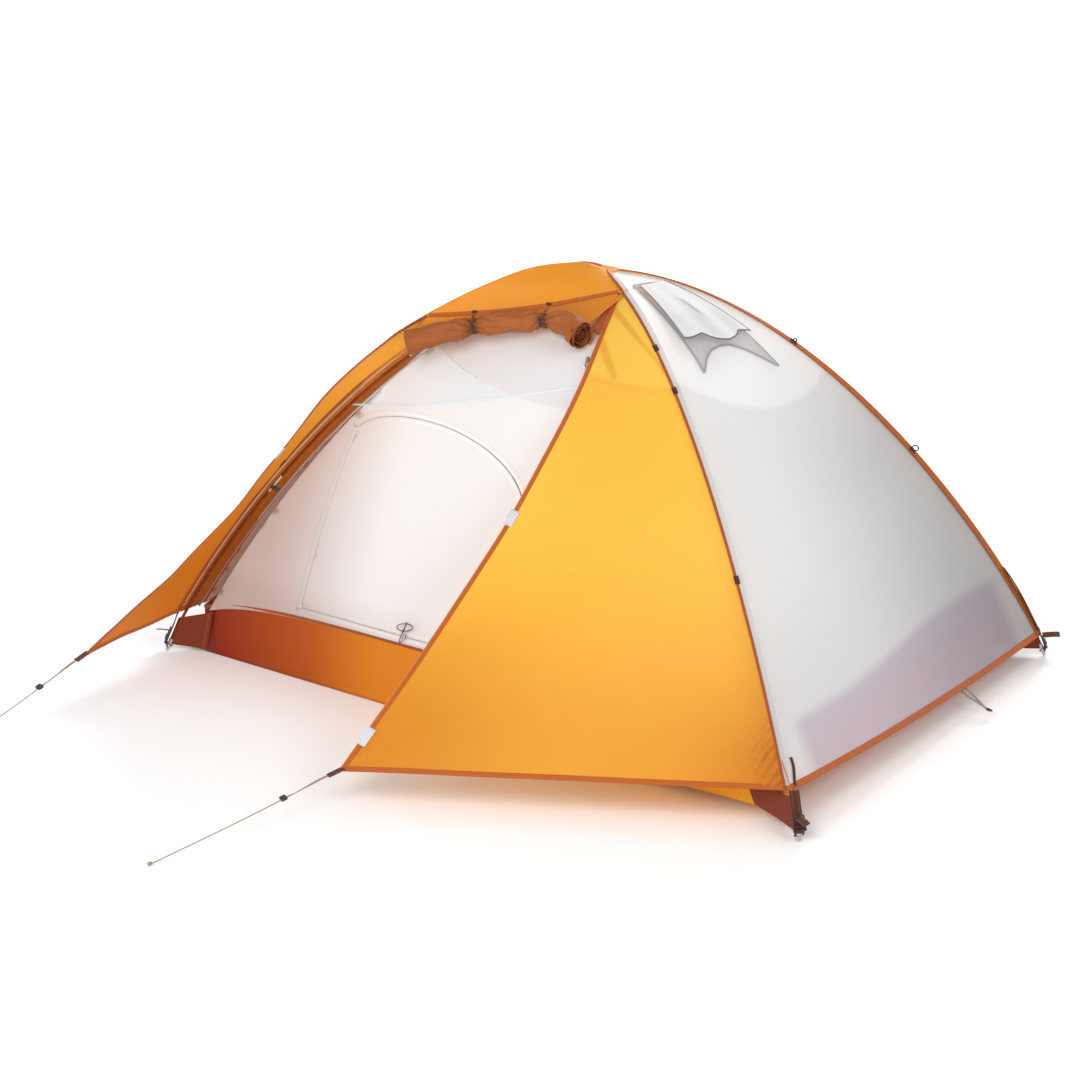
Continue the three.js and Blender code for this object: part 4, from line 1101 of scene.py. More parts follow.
def floor_lift(points):
    """The floor isn't pegged: its right end hangs clear of the ground from the corner straps."""
    x, y = points[..., 0], points[..., 1]
    return (0.030 * smooth(x, 0.0, 0.92)
            + 0.014 * smooth(x, 0.80, 0.95) * smooth(np.abs(y), 0.6, 0.3))


# ---- corners: tips, straps, buckles and tails --------------------------------------------------

STRAP_WIDE, STRAP_THICK = 0.028, 0.0034
STRAP_OFF = 0.01075  # how far the strap lies off the pole's middle line
LOCK_UP, TAIL_UP = 0.034, 0.056  # the buckle's and the free tail's places up the pole
CORNERS = {"fr": ("a", 1, FRONT_HEM), "bl": ("a", -1, REAR_HEM), "br": ("b", 1, REAR_HEM),
           "fl": ("b", -1, FRONT_HEM)}
recolour(METAL, *[f"pole_tip_{key}" for key in CORNERS])
recolour(PLASTIC, *[f"pole_clip_{key}" for key in CORNERS], "peak_hook")
for key, (pole, end, hem) in CORNERS.items():
    front = hem == FRONT_HEM
    foot = pole_point(pole, np.array([float(end)]))[0]
    line = resample(pole_point(pole, np.linspace(end, end * 0.8, 400)), 400)
    s = lengths(line)
    # z runs up the pole, x out from it, y along the ground
    z = unit(np.array([np.interp(LOCK_UP, s, line[:, k]) for k in range(3)]) - foot)
    x = unit(np.array([0, 0, 1.0]) - z * z[2])
    y = np.cross(z, x)
    out = unit([foot[0], foot[1], 0])
    # the strap runs from an eye on the pole tip up through the ladder-lock buckle to the hem
    rise = np.linspace(0.010, (hem - 0.020) / z[2] + 0.012, 40)
    wave = 0.0012 * np.sin(rise * 70) * smooth(rise, 0.06, 0.1)
    path = [foot + z * d + x * (STRAP_OFF * float(smooth(d, 0.006, 0.02)) + w)
            for d, w in zip(rise, wave)]
    strap(f"strap_{key}", path, y, STRAP_WIDE, STRAP_THICK, DARK_WEB,
          replaces=[f"corner_strap_{key}"])
    eye = [foot + z * 0.0135 + (x * math.cos(a) + y * math.sin(a)) * 0.0088 for a in turns(32)]
    tube(f"grommet_{key}", eye, 0.0026, METAL, sides=10, closed=True)
    # the ladder-lock: a frame with two cross bars, on its own sliding body
    body = f"buckle_{key}"
    centre = foot + z * LOCK_UP + x * STRAP_OFF
    top = 0.028 if front else 0.015
    outline = [(-0.0185, -0.014), (0.0185, -0.014), (0.0170, top), (-0.0170, top)]
    slots = [[(-0.0140, -0.0090), (0.0140, -0.0090), (0.0140, -0.0020), (-0.0140, -0.0020)],
             [(-0.0140, 0.0030), (0.0140, 0.0030), (0.0132, top - 0.007), (-0.0132, top - 0.007)]]
    solid(f"ladder_lock_{key}", outline, 0.0056, centre + x * 0.0032, y, z, PLASTIC, body,
          holes=slots, bevel=0.0011, replaces=[f"corner_buckle_{key}"])
    bar = [centre + x * 0.0066 + z * 0.0004 + y * d for d in np.linspace(-0.0150, 0.0150, 10)]
    tube(f"lock_bar_{key}", bar, 0.0024, PLASTIC, body, sides=10)
    # the free tail of the strap lies over the buckle and curls outwards
    tail_out = 0.042 if key in ("br", "fr") else 0.028
    tail = [foot + z * (TAIL_UP - 0.006 * d) + x * (STRAP_OFF + 0.0050 + 0.010 * math.sin(d * 2.6))
            + out * tail_out * d**1.3 + np.array([0, 0, 0.006 * d * d])
            for d in np.linspace(0, 1, 24)]
    strap(f"strap_tail_{key}", tail, y + 0.5 * z, 0.019, 0.0030, DARK_WEB, body)
    # a web of cloth, two wings wide, joins the tub's corner to the strap
    side_x, side_y = math.copysign(1, foot[0]), math.copysign(1, foot[1])
    from_x, top_z = (0.920, 0.132) if key == "fl" else (0.858, 0.100)
    low = 0.006 + float(floor_lift(np.array([side_x * 0.94, side_y * 0.64, 0])))
    wings = [([side_x * from_x, side_y * 0.6450, top_z],
              [side_x * (from_x + 0.028), side_y * 0.6470, low]),
             (foot + z * 0.104 + x * 0.004, foot + z * 0.014 + x * 0.004),
             ([side_x * 0.9580, side_y * 0.575, 0.100], [side_x * 0.9600, side_y * 0.610, low])]
    wings = np.array(wings, float)
    down_web = np.linspace(0, 1, 10)[:, None]
    rows = []
    for first, second in zip(wings[:-1], wings[1:]):
        for a in np.linspace(0, 1, 14):
            dip = -0.006 * math.sin(math.pi * a) * np.array([side_x, side_y, 0])
            above, below = mix(first, second, a)
            rows.append(mix(above, below, down_web) + dip)
    build_grid(f"corner_gusset_{key}", np.array(rows), GUSSET)
    # a reinforcing strap at the low end of the fly's ridge
    u_hem = float(reach(hem))
    long, wide, beside = (0.030, 0.007, 0.022) if front else (0.090, 0.020, 0.008)
    along_ridge = ridge(np.linspace(u_hem - long, u_hem - 0.002, 16), side_x, side_y)
    run = unit(np.gradient(along_ridge, axis=0))
    outwards = off_ridge(run, side_x, side_y)
    shift = np.zeros((16, 3))
    shift[:, 1] = 0.004 * np.sin(np.linspace(0, 5, 16)) - side_y * beside
    strap(f"hem_strap_{key}", along_ridge + shift + outwards * 0.0050, np.cross(run, outwards),
          wide, 0.0026, DARK_WEB)

# the peg loops at the middle of the side hems
LOOP_LONG = 0.100
for side, label in SIDES:
    start = np.array([side * 1.0175, 0.2300, 0.0720])
    way = np.array([side * 0.8829, 0.0, -0.4695])
    turn = np.linspace(0.02, 0.98, 48)[:, None] * 2 * math.pi
    path = (start + way * LOOP_LONG / 2 * (1 - np.cos(turn))
            + np.sin(turn) * [0, 0.0085, 0] + np.sin(2 * turn) * [0, 0, 0.004])
    strap(f"peg_loop_strap_{label}", path, (0.3, 0, 1), 0.0065, 0.0014, GREY_WEB)
    hang = np.linspace(-0.006, 0.018, 11)[:, None] * [side, 0, -0.1]
    tube(f"peg_loop_knot_{label}", start + way * 0.099 + hang,
         0.0046 * np.sin(np.linspace(0.25, 2.9, 11)), BROWN_CORD, sides=10)

# ---- the inner tent: floor tray, four walls, door, cap ----------------------------------------

TUB_HEIGHT, WALL_TOP, WALL_DIP = 0.190, 0.930, 0.080
TUB = (0.945, 0.628)  # half the tray's rim, along X and Y
FLOOR_HALF = (0.955, 0.642)
FLOOR_BOW = 0.060  # how far the floor's short sides are drawn in
TOP = (0.396, 0.262)  # half the seam where the walls meet the cap
CLOTH_UP = 0.0006  # the floor's cloth above the ground
WALL_FOLDS = (0.17, 0.0035, 31.0)  # size, height and seed of the folds in the walls


def up_wall(z):
    """A height as a share of the way up the walls."""
    return (z - TUB_HEIGHT) / (WALL_TOP - TUB_HEIGHT)


def ring(half, height, each=40, bow=0.0):
    """A rectangle of points, one side after another; its short sides may bow inwards."""
    points = []
    for k in range(4):
        for t in np.linspace(-1, 1, each, endpoint=False):
            x, y = ((t, -1), (1, t), (-t, 1), (-1, -t))[k]
            x *= 1 - bow * (1 - abs(t) ** 3) * (k % 2)
            points.append((x * half[0], y * half[1], height))
    return np.array(points)


def rim_drop(to_corner):
    """The tub's rim is drawn down towards the pole foot at each corner."""
    return 0.052 * np.exp(-to_corner / 0.16)


def tub_ring(a, each=40):
    """The tub's wall, a share of the way down from its rim to the ground."""
    half = (mix(TUB[0], FLOOR_HALF[0], a), mix(TUB[1], FLOOR_HALF[1], a))
    loop = ring(half, TUB_HEIGHT * (1 - a) + CLOTH_UP, each, FLOOR_BOW * a)
    to_corner = np.hypot(half[0] - np.abs(loop[:, 0]), half[1] - np.abs(loop[:, 1]))
    drop = rim_drop(to_corner) * (1 - a)
    loop[:, 2] -= drop
    loop[:, :2] += np.sign(loop[:, :2]) * (drop * 0.2)[:, None]
    return loop


DOWN, IN, RIM_EACH = 16, 11, 60  # rings down the wall, rings in over the floor, points on a side
inwards = np.linspace(1, 0, IN + 1)[1:]
tub = np.array([tub_ring(a) for a in np.linspace(0, 1, DOWN)]
               + [ring(np.multiply(FLOOR_HALF, max(a, 0.004)), CLOTH_UP, bow=FLOOR_BOW * a)
                  for a in inwards])
hangs = np.concatenate([np.linspace(0, 1, DOWN) ** 2, inwards])
tub[..., 2] += floor_lift(tub) * hangs[:, None]
columns = tub.shape[1]
waves = noise_at((tub * [7, 7, 9]).reshape(-1, 3)).reshape(tub.shape[:2])
belly = np.sin(np.pi * np.concatenate([np.linspace(0, 1, DOWN), np.ones(IN)]))[:, None]
level = unit(tub * [1, 1, 0])
tub -= level * (0.0045 * np.abs(waves) * belly)[..., None]
tub[:DOWN, :, 2] += 0.0015 * waves[:DOWN] * belly[:DOWN]
# its front wall is in the fly's shade at the left and lit at the right
tone = np.ones(tub.shape)
stops = [-0.96, -0.87, -0.57, -0.35, 0.10, 0.60]
lit = np.stack([np.interp(tub[..., 0], stops, share) for share in (
    (0.28, 0.34, 0.55, 0.86, 1.0, 1.10), (0.05, 0.08, 0.30, 0.80, 1.0, 1.45),
    (0.0, 0.0, 0.10, 0.55, 1.0, 1.90))], -1)
tone = np.where((tub[..., 1] < -0.60)[..., None], lit, tone)
tub_sheet = build("floor_tray", tub.reshape(-1, 3), grid_faces(DOWN + IN, columns, ring=True),
                  FLOOR, uv=np.stack([np.tile(np.linspace(0, 5.3, columns), DOWN + IN),
                                      np.repeat(np.linspace(0, 0.9, DOWN + IN), columns)], 1),
                  tone=tone.reshape(-1, 3), replaces=["inner_floor_tub"])
rim = tub_ring(0.0, RIM_EACH)
rim = np.vstack([rim, rim[:1]])
for k in range(4):
    part = rim[k * RIM_EACH : (k + 1) * RIM_EACH + 1]
    strap(f"tray_rim_{k + 1}", part + unit(part * [1, 1, 0]) * 0.0012, (0, 0, 1), 0.008, 0.0030,
          SEAM)


def edge_shift(z):
    """How far the wall's corner seam stands out, in X and in Y, towards the pole over it."""
    share = up_wall(np.asarray(z, float))
    pole = reach((z - TIP) / 1.1315 * PEAK)
    x = FOOT[0] * pole - 0.020 - mix(TUB[0], TOP[0], share)
    y = FOOT[1] * pole - 0.015 - mix(TUB[1], TOP[1], share)
    return x - 0.005 - 0.010 * share, y - 0.0035 - 0.007 * share


class Wall:
    """A leaning wall: x along it, up the slope, out from it, and drawn out to the poles."""

    def __init__(self, turn, along, across):
        """along and across say which of X and Y the wall runs along and faces."""
        self.flip = -1 if along else 1
        self.half_bottom, self.half_top = TUB[along], TOP[along]
        lean = math.atan2(TUB[across] - TOP[across], WALL_TOP - TUB_HEIGHT)
        c, s = math.cos(turn), math.sin(turn)

        def spin(v):
            return np.array([c * v[0] - s * v[1], s * v[0] + c * v[1], v[2]])

        self.origin = spin((0, -TUB[across], TUB_HEIGHT + 0.002))
        self.x = spin((1, 0, 0))
        self.up = spin((0, math.sin(lean), math.cos(lean)))
        self.out = spin((0, -math.cos(lean), math.sin(lean)))
        self.scale = 1 / math.cos(lean)
        self.top = self.slope(WALL_TOP)

    def at(self, x, up, out=0.0):
        x, up, out = (np.asarray(q, float)[..., None] for q in (x, up, out))
        z = TUB_HEIGHT + 0.002 + up / self.scale
        wide, deep = edge_shift(np.clip(z, 0.08, 1.05))[:: self.flip]
        level = unit(self.out * [1, 1, 0])
        half = mix(self.half_bottom, self.half_top, up_wall(z))
        return (self.origin + self.x * (x + x / half * wide) + self.up * up + self.out * out
                + level * deep)

    def slope(self, z):
        return (z - TUB_HEIGHT) * self.scale

    def sag(self, flat):
        """The slack of the wall's cloth between its edges, inwards."""
        up_share = np.clip(flat[:, 1] / self.top, 0, 1)
        half = mix(self.half_bottom, self.half_top, up_share)
        across = 1 - np.clip(np.abs(flat[:, 0]) / half, 0, 1) ** 2
        return -0.007 * across * np.sin(np.pi * up_share) ** 0.8

    def cloth(self, flat, out, lift=0.0):
        """Points of the slack cloth with its soft folds; lift is above them."""
        points = self.at(flat[:, 0], flat[:, 1], self.sag(flat) + out)
        facing = np.broadcast_to(self.out, points.shape)
        return rough_up(points, facing, *WALL_FOLDS) + facing * lift


walls = {"front": Wall(0, 0, 1), "back": Wall(math.pi, 0, 1),
         "right": Wall(math.pi / 2, 1, 0), "left": Wall(-math.pi / 2, 1, 0)}
DOOR = dict(left_low=-0.620, left_high=-0.520, right=0.040, low=0.022, high=0.560, arch=0.640)


def bezier(*points, count=24):
    t = np.linspace(0, 1, count)[:, None]
    points = [np.array(p, float)[None] for p in points]
    while len(points) > 1:
        points = [a + (b - a) * t for a, b in zip(points[:-1], points[1:])]
    return points[0]


def door_outline(inset=0.0):
    d, i = DOOR, inset
    corner = bezier((d["right"] - 0.060, d["low"] + i), (d["right"] - i, d["low"] + i),
                    (d["right"] - i, d["low"] + 0.070), count=12)
    arch = bezier((d["right"] - i, d["high"] - 0.160), (d["right"] - i, d["arch"] - i),
                  (d["left_high"] + 0.060 + i, d["arch"] + 0.040 - i),
                  (d["left_high"] + i, d["high"] - i), count=40)
    return np.vstack([[(d["left_low"] + i, d["low"] + i)], corner, arch])


def seam_height(x):
    """The seam that shows across the front wall, lower at the left pole."""
    return np.interp(x, [-0.62, -0.553, -0.384, -0.15, 0.089, 0.37],
                     [0.742, 0.747, 0.776, 0.838, 0.905, 0.925])


def wall_tone(points):
    """Painted light and shade on the front wall: greyer above its seam, shaded and tinted by orange
    light from the fly on its left, and darker low down towards the left.
    """
    x, z = points[:, 0], points[:, 2]
    above_seam = z - seam_height(x)
    tone = np.ones((len(points), 3))
    darken(tone, smooth(above_seam, -0.004, 0.006), 0.085, 0.035, 0.0)
    darken(tone, smooth(x, -0.34, -0.78) * smooth(above_seam, 0.03, -0.03), 0.34, 0.46, 0.50)
    darken(tone, smooth(z, 0.29, 0.20) * smooth(x, 0.1, -0.5), 0.08, 0.12, 0.13)
    return tone


def wall_shade(share):
    return lambda points: wall_tone(points) * share


def wall_cloth(name):
    """One wall's cloth, from the tray's rim to the cap's seam; the front's is open at the door."""
    wall = walls[name]
    half_bottom, half_top, top = wall.half_bottom, wall.half_top, wall.top
    dip = wall.slope(WALL_TOP - WALL_DIP)
    crown = bezier((half_top, top), (0, top - 2 * (top - dip)), (-half_top, top), count=36)
    x = np.linspace(-half_bottom, half_bottom, 60)
    foot_line = np.stack([x, -0.006 - wall.scale * rim_drop(half_bottom - np.abs(x))], 1)
    flat, faces = panel(np.vstack([foot_line, crown]), 0.020,
                        [door_outline()] if name == "front" else [])
    points = wall.cloth(flat, -0.001)
    sheet = build(f"inner_cloth_{name}", points, faces, INNER, uv=flat,
                  tone=wall_tone(points) if name == "front" else None,
                  replaces=[f"inner_wall_{name}"])


# the door's leaf fills the opening of the front wall
FRONT = walls["front"]
wall_cloth("front")
DOOR_IN = -0.0004  # the leaf's cloth lies this far behind the wall's own plane
leaf_line = door_outline(0.003)
hinge = np.array([(DOOR["left_high"], DOOR["high"]), (DOOR["left_low"], DOOR["low"])])
leaf_line[[-1, 0]] = hinge + [(-0.0025, -0.002), (-0.0025, 0.002)]
leaf, leaf_faces = panel(leaf_line, 0.018)
points = FRONT.cloth(leaf, DOOR_IN)
door_sheet = build("inner_door_cloth", points, leaf_faces, INNER, None, leaf, wall_tone(points),
                   ["inner_door"])
bends = [door_sheet]
for label, inset, body in (("wall", -0.008, "root"), ("leaf", 0.010, None)):
    path = FRONT.cloth(resample(door_outline(inset), 260), DOOR_IN, 0.0009)
    band = tape(f"zip_tape_{label}", path, FRONT.out, 0.010, 0.0003, INNER, body,
                wall_shade(0.975))
    if not body:
        bends.append(band)
path = FRONT.cloth(resample(door_outline(0.0025), 520), DOOR_IN, 0.0016)
bends.append(tube("zip_coil_inner", path, 0.0006 + 0.0002 * (np.arange(520) % 2),
                  hard("pale_coil", rgb(244, 240, 238), 0.85), None, sides=6))
path = FRONT.cloth(resample(hinge + [(-0.001, 0.006), (-0.001, -0.006)], 60), DOOR_IN, 0.0012)
tape("door_hinge_seam", path, FRONT.out, 0.016, 0.0004, INNER, tone=wall_shade(0.985))
# the leaf's pieces have their placing applied to their points
way = unit(hinge[0] - hinge[1])
middle = hinge.mean(0)
for piece in bends:
    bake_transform(piece)
# a felled seam across the wall, which stops at the door's opening
x = np.linspace(-0.60, 0.40, 90)
line = np.stack([x, FRONT.slope(seam_height(x))], 1)
path = FRONT.cloth(line, DOOR_IN, 0.0010)[~inside(line, door_outline(-0.01))]
strap("front_seam", path, FRONT.up, 0.005, 0.0005, INNER, tone=wall_shade(0.93))
for name in ("back", "right", "left"):
    wall_cloth(name)

# tape over the four sloping corner seams, and piping at its foot
z = np.linspace(TUB_HEIGHT - 0.050, WALL_TOP, 60)
more_x, more_y = edge_shift(z)
seam_x = mix(TUB[0], TOP[0], up_wall(z)) + more_x
seam_y = mix(TUB[1], TOP[1], up_wall(z)) + more_y
for side_x in (1, -1):
    for side_y in (1, -1):
        path = np.stack([side_x * seam_x, side_y * seam_y, z], -1)
        out = unit([side_x * 0.6, side_y * 0.8, 0.5])
        label = ("b" if side_y > 0 else "f") + ("r" if side_x > 0 else "l")
        tape(f"corner_tape_{label}", path, out, 0.010, 0.0012, INNER, tone=wall_shade(0.9))
        low = path[z < 0.42] + out * 0.0015
        tape(f"corner_piping_{label}", low, out, 0.006, 0.0022, SEAM)

EACH = 28  # the cap's points along a side
CAP_RINGS = (((0.345, 0.226), 0.970), ((0.262, 0.168), 1.018), ((0.175, 0.110), 1.048),
             ((0.080, 0.050), 1.068), ((0.002, 0.001), 1.071))


def cap_foot():
    """The cap's lower edge, on the walls' dipping tops."""
    points = []
    for k in range(4):
        for t in np.linspace(-1, 1, EACH, endpoint=False):
            z = WALL_TOP - WALL_DIP * (1 - t * t)
            half = [mix(TUB[i], TOP[i], up_wall(z)) + edge_shift(z)[i] for i in (0, 1)]
            points.append(((t * TOP[0], -half[1], z), (half[0], t * TOP[1], z),
                           (-t * TOP[0], half[1], z), (-half[0], -t * TOP[1], z))[k])
    return np.array(points)


stack = np.array([cap_foot()] + [ring(half, z, EACH) for half, z in CAP_RINGS])
rows = np.stack([spline(stack[:, j], 8) for j in range(stack.shape[1])], 1)
points = rough_up(rows.reshape(-1, 3), grid_normals(rows).reshape(-1, 3), 0.16, 0.003, 41.0)
tone = np.ones((len(points), 3))
# painted shade: the cap's front half is greyer
tone[points[:, 1] < -0.2] *= (0.90, 0.90, 0.92)
cap = build_grid("inner_cap_cloth", rows, INNER, tone.reshape(rows.shape), moved=points,
                 ring=True, replaces=["inner_cap"])

# the inner door's slider: a body on the coil, a cord, and a loop with a bar through it
SLIDER_X, BODY = -0.250, "inner_zip"
solid("zip_slider_body", [(-0.006, -0.008), (0.006, -0.008), (0.005, 0.008), (-0.005, 0.008)],
      0.005, FRONT.at(SLIDER_X, 0.0225, 0.0055), FRONT.x, FRONT.up, METAL, BODY,
      replaces=["inner_zip_slider"])
stem = bezier((0, 0.012, 0.009), (-0.012, -0.012, 0.014), (-0.006, 0.020, 0.016),
              (0.004, 0.044, 0.012), count=30) + [SLIDER_X, 0, 0]
tube("zip_pull_cord", FRONT.at(*stem.T), 0.0013, BROWN_CORD, BODY, sides=8)
angle, lean = turns(48), 0.22
loop_x = SLIDER_X + 0.004 + 0.026 * np.cos(angle) * math.cos(lean)
loop_up = 0.0500 + 0.0105 * np.sin(angle) + 0.026 * np.cos(angle) * math.sin(lean)
tube("zip_pull_loop", FRONT.at(loop_x, loop_up, 0.012 + 0.003 * np.sin(angle)), 0.0014,
     BROWN_CORD, BODY, sides=8, closed=True)
bar = FRONT.at(np.linspace(SLIDER_X, SLIDER_X + 0.010, 8), np.linspace(0.034, 0.066, 8), 0.0135)
tube("zip_pull_bar", bar, 0.0018, BROWN_CORD, BODY, sides=10)

# ---- the rolled-up door ------------------------------------------------------------------------

roll_line = Line([(-0.392, -0.400, 0.978), (-0.320, -0.358, 1.002), (-0.240, -0.306, 1.026),
                  (-0.148, -0.256, 1.042), (-0.054, -0.222, 1.056), (0.010, -0.212, 1.052),
                  (0.072, -0.236, 1.037)])
TIES = (0.36, 0.74)  # where the ties go round it, as shares of its length
ROLL_SIDES = 72
STEPS = np.linspace(0, 1, 150)


def near_ties(t, width):
    """1 at a tie, fading away from it."""
    return np.maximum(*[np.exp(-(((t - at) / width) ** 2)) for at in TIES])


def roll_radius(t):
    flare = np.where(t < 0.5, 0.006, 0.010) * np.abs(2 * t - 1) ** 3
    return mix(0.0275 + flare, 0.0170, near_ties(t, 0.055))


def roll_frame(t):
    """The roll's middle line, the two directions across it and the one along it."""
    centre, along = roll_line.at(t), roll_line.along(t)
    x = unit(np.array([0, 0, 1.0]) - along * along[..., 2:3])
    return centre, x, np.cross(along, x), along


def roll_at(t):
    """The same four at one place."""
    return (q[0] for q in roll_frame(np.array([t])))


def around(middle, x, y, angle, radius):
    """Points at angles and radii round a middle, in the plane of x and y."""
    return middle + np.outer(radius * np.cos(angle), x) + np.outer(radius * np.sin(angle), y)


def end_rings(last, inwards, *rings):
    """Rings that close an end of the roll: depth, and size as a share of the last ring."""
    middle = last.mean(0)
    return np.array([middle + (last - middle) * share + inwards * depth for depth, share in rings])


theta, rows = turns(ROLL_SIDES), []
for t in STEPS:
    centre, x, y, along = roll_at(t)
    r = np.full(ROLL_SIDES, float(roll_radius(t)))
    # gathers beside the ties
    for at in TIES:
        near = math.exp(-(((t - at) / 0.10) ** 2)) * (1 - 0.5 * math.exp(-(((t - at) / 0.02) ** 2)))
        r += 0.0042 * near * np.sin(theta * 7 + 11 * math.sin(t * 9) + at * 40)
    # creases, the step at the cloth's outer edge, and the slump under its own weight
    r += np.array([0.0048 * noise.noise(Vector((math.cos(a) * 1.2, math.sin(a) * 1.2, t * 9)))
                   + 0.0034 * noise.noise(Vector((math.cos(a) * 3, math.sin(a) * 3, t * 17 + a)))
                   for a in theta])
    past_edge = (theta - 3.7 - 0.5 * math.sin(t * 9)) % (2 * math.pi)
    r += 0.0042 * (1 - smooth(past_edge, 0, 1.3))
    between = TIES[0] < t < TIES[1]
    slump = 0.005 * math.sin(math.pi * min(1, abs(t - 0.55) / 0.19)) if between else 0.003
    rows.append(around(centre, x, y, theta, r)
                - np.outer(slump * (1 - np.cos(theta)) / 2, [0, 0, 1.0]))
roll = np.array(rows)
first_along, last_along = roll_line.along(np.array([0.0, 1.0]))
first_end = end_rings(roll[0], first_along, (0.003, 0.92), (0.010, 0.70), (0.012, 0.02))
last_end = end_rings(roll[-1], -last_along, (0.002, 0.94), (0.012, 0.90), (0.024, 0.60),
                     (0.026, 0.02))
full = np.vstack([first_end[::-1], roll, last_end])
# painted shade: the roll is darker at its left and where the ties draw it in, and dark inside its
# ends
outside = (0.90 + 0.10 * smooth(STEPS, 0.3, 0.5)) * (1 - 0.25 * near_ties(STEPS, 0.035))
shade = np.concatenate([[0.6] * 3, outside, [1.0], [0.16] * 3])
roll_piece = build_grid("door_roll", full, ROLLED_PAINTED_SHADE, np.ones(full.shape) * shade[:, None, None],
                        ring=True, replaces=["rolled_door"])
# the roll's layers and creases, seen at its right end, in painted shade: the layers darkened, the
# creases strips of the dark gusset cloth
centre, x, y, along = roll_at(1.0)
middle = roll[-1].mean(0)
phi = np.linspace(0, 2.2 * 2 * math.pi, 180)
r = mix(0.0345, 0.019, phi / phi[-1]) + 0.0020 * np.sin(phi * 2.7)
layers = around(middle - along * 0.009, x, y, phi, r) + np.outer(0.0045 * np.sin(phi * 0.9), along)
strap("door_roll_layers", layers, along, 0.020, 0.0018, ROLLED_PAINTED_SHADE, tone=lambda q: q * 0 + 0.62)
for k in range(5):
    turn = np.linspace(0, 2.2, 20)
    r = 0.004 + 0.014 * np.abs(np.sin(turn / 2.2 * math.pi)) * (1 - 0.12 * k)
    crease = around(middle - along * 0.014, x, y, turn + 1.3 * k + 0.4, r)
    strap(f"door_roll_crease_{k + 1}", crease, along, 0.014, 0.0016, GUSSET)

# the top of the door, from its seam under the brow down to the roll
brow_edge = brow_low[REAR:]
share, down = np.linspace(0, 1, 46), np.linspace(0, 1, 9)[:, None, None]
centre, up, away, along = roll_frame(share)
door_top = mix(resample(brow_edge, 46) - [0, 0, 0.003], centre + up * 0.020 + away * 0.012, down)
door_top[..., 1] += (0.010 * np.sin(math.pi * down) + 0.004 * down)[..., 0]
door_top += 0.0016 * np.sin(share * 60 + 3 * np.sin(share * 11))[:, None]
shade = mix(np.array([0.80, 0.50, 0.32]), np.array([0.62, 0.34, 0.20]), down + 0 * share[:, None])
build_grid("door_top_cloth", door_top, ORANGE, shade)
garage = Line([(0.112, -0.090, 1.116), (0.104, -0.112, 1.090), (0.088, -0.150, 1.058),
               (0.080, -0.178, 1.030)])
strap("door_side_strip", garage.at(np.linspace(0, 1, 20)), (0.80, 0.55, 0.1), 0.038, 0.0016,
      ROLLED_PAINTED_SHADE)

# each tie: two turns of cord, its toggle, and its lace and tab at the brow above the roll
HALF_TOGGLE = 0.015
TOGGLE_AXES = ((0.1701, 0.1012, -0.9802), (0.0833, 0.0241, -0.9962))
for label, at, axis in zip(("left", "right"), TIES, TOGGLE_AXES):
    centre, x, y, along = roll_at(at)
    angle = turns(40)
    for turn, shift in ((1, -0.0028), (2, 0.0026)):
        loop = (around(centre - [0, 0, 0.0010], x, y, angle, 0.0207 + 0.0006 * turn)
                + np.outer(shift + 0.0015 * np.sin(angle * 2 + turn), along))
        tube(f"tie_cord_{label}_{turn}", loop, 0.0019, BROWN_CORD, sides=10, closed=True,
             replaces=[f"roll_tie_{label}"] if turn == 1 else ())
    middle = np.mean(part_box(f"roll_toggle_{label}"), axis=0)
    d = np.linspace(-HALF_TOGGLE, HALF_TOGGLE, 25)
    shape = 0.0026 + 0.0012 * np.cos(d / HALF_TOGGLE * math.pi) ** 2
    shape[[0, -1]] = 0.0018
    tube(f"toggle_barrel_{label}", middle + np.outer(d, unit(axis)), shape, PLASTIC,
         f"toggle_{label}", sides=16, replaces=[f"roll_toggle_{label}"])
    brow_at = brow_edge[np.argmin(np.linalg.norm(brow_edge - centre - [0, 0, 0.04], axis=1))]
    lace = bezier(centre + x * 0.021, centre + x * 0.030 + y * 0.006, brow_at - [0, 0, 0.01],
                  brow_at, count=20)
    tube(f"tie_lace_{label}", lace, 0.0017, BROWN_CORD, sides=8)
    strap(f"tie_tab_{label}", [brow_at + [0, 0, h] for h in np.linspace(-0.012, 0.010, 8)],
          along, 0.014, 0.0018, DARK_WEB)

# ---- guylines ----------------------------------------------------------------------------------

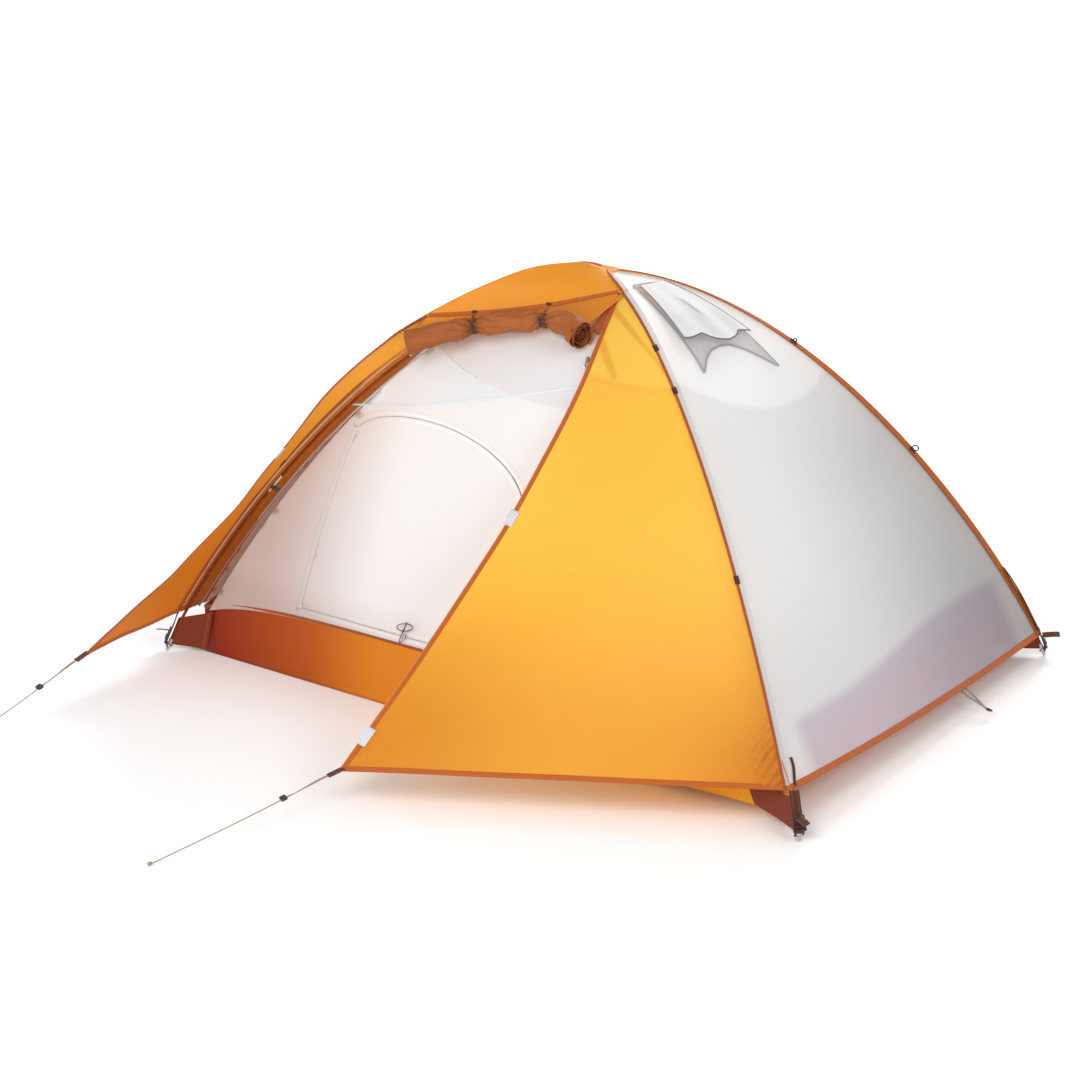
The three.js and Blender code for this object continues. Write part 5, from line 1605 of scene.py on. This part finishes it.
TAB_OUT = 0.0365  # from the flap's tip to the cord's first point, in the tab's fold
for label, tip, stake in (("right", (-0.007, -1.227, 0.120), (-0.217, -1.732, 0.005)),
                          ("left", (-1.043, -1.050, 0.118), (-1.065, -1.655, 0.005))):
    tip, stake = np.array(tip), np.array(stake)
    along = unit(stake - tip)
    side = unit(np.cross(along, [0, 0, 1]))
    up = np.cross(side, along)
    start = tip + along * TAB_OUT
    reach_of = np.linalg.norm(stake - start)
    a = np.linspace(0, 1, 25)
    path = start + np.outer(a * reach_of, along) - np.outer(np.sin(np.pi * a) * 0.004, [0, 0, 1])
    curve = bpy.data.curves.new(f"guyline_cord_{label}", "CURVE")
    curve.dimensions = "3D"
    curve.bevel_depth = 0.0015
    curve.bevel_resolution = 4
    line = curve.splines.new("POLY")
    line.points.add(len(path) - 1)
    for point, at in zip(line.points, path):
        point.co = (*at, 1)
    curve.materials.append(CORD)
    cord = bpy.data.objects.new(f"guyline_cord_{label}", curve)
    scene.collection.objects.link(cord)
    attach(cord, "root")
    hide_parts(f"guyline_{label}")
    # the doubled part from the tab to the runner, and the knot at the stake's place
    second = bezier(start - along * 0.004, start + along * 0.03 + up * 0.010,
                    start + along * 0.08 - up * 0.010 + side * 0.004,
                    start + along * 0.24 * reach_of, count=30)
    double = tube(f"guyline_return_{label}", second, 0.0014, CORD, sides=8)
    theta = np.linspace(0, 2 * math.pi * 2, 60)
    knot_path = (around(stake + [0, 0, 0.002], side, up, theta, 0.0036)
                 + np.outer(0.0042 * np.cos(theta * 1.5), along))
    knot = tube(f"guyline_knot_{label}", knot_path, 0.0015, CORD, sides=8)
    recolour(PLASTIC, f"guyline_runner_{label}")
    # the webbing tab sewn to the flap's tip, folded round the cord
    out = np.outer(np.linspace(-0.012, 0.036, 14), along)
    fold = tip + np.vstack([out + up * 0.0016, out[::-1] - up * 0.0016])
    strap(f"flap_tab_{label}", fold, side, 0.016, 0.0016, DARK_WEB)

# ---- the floor under it ------------------------------------------------------------------------

WIDE = 40  # half the floor's side
plane = bpy.data.meshes.new("studio_floor")
plane.from_pydata([(x * WIDE, y * WIDE, -0.001) for x, y in ((-1, -1), (1, -1), (1, 1), (-1, 1))],
                  [], [(0, 1, 2, 3)])
floor = bpy.data.objects.new("studio_floor", plane)
t = Tree("studio_paper")
paper = t.add("BsdfPrincipled", Roughness=0.9)
grain = t.noise(3.0, 2.0)
t.feed(paper.inputs["Base Color"], t.mix(grain, (0.93, 0.93, 0.93, 1), (0.95, 0.95, 0.95, 1)))
paper.inputs["Specular IOR Level"].default_value = 0.1
# white in the distance, plain paper under the tent
place = t.add("SeparateXYZ", Vector=t.add("TexCoord").outputs["Object"])
away = t.math("SQRT", t.math("ADD", t.math("MULTIPLY", place.outputs[0], place.outputs[0]),
                             t.math("MULTIPLY", place.outputs[1], place.outputs[1])))
lit = t.math("MULTIPLY", t.math("SUBTRACT", away, 1.5), 0.22, clamp=True)
t.feed(paper.inputs["Emission Strength"], t.math("MULTIPLY", lit, 0.45))
paper.inputs["Emission Color"].default_value = (1, 1, 1, 1)
plane.materials.append(t.finish(paper.outputs[0]))
scene.collection.objects.link(floor)
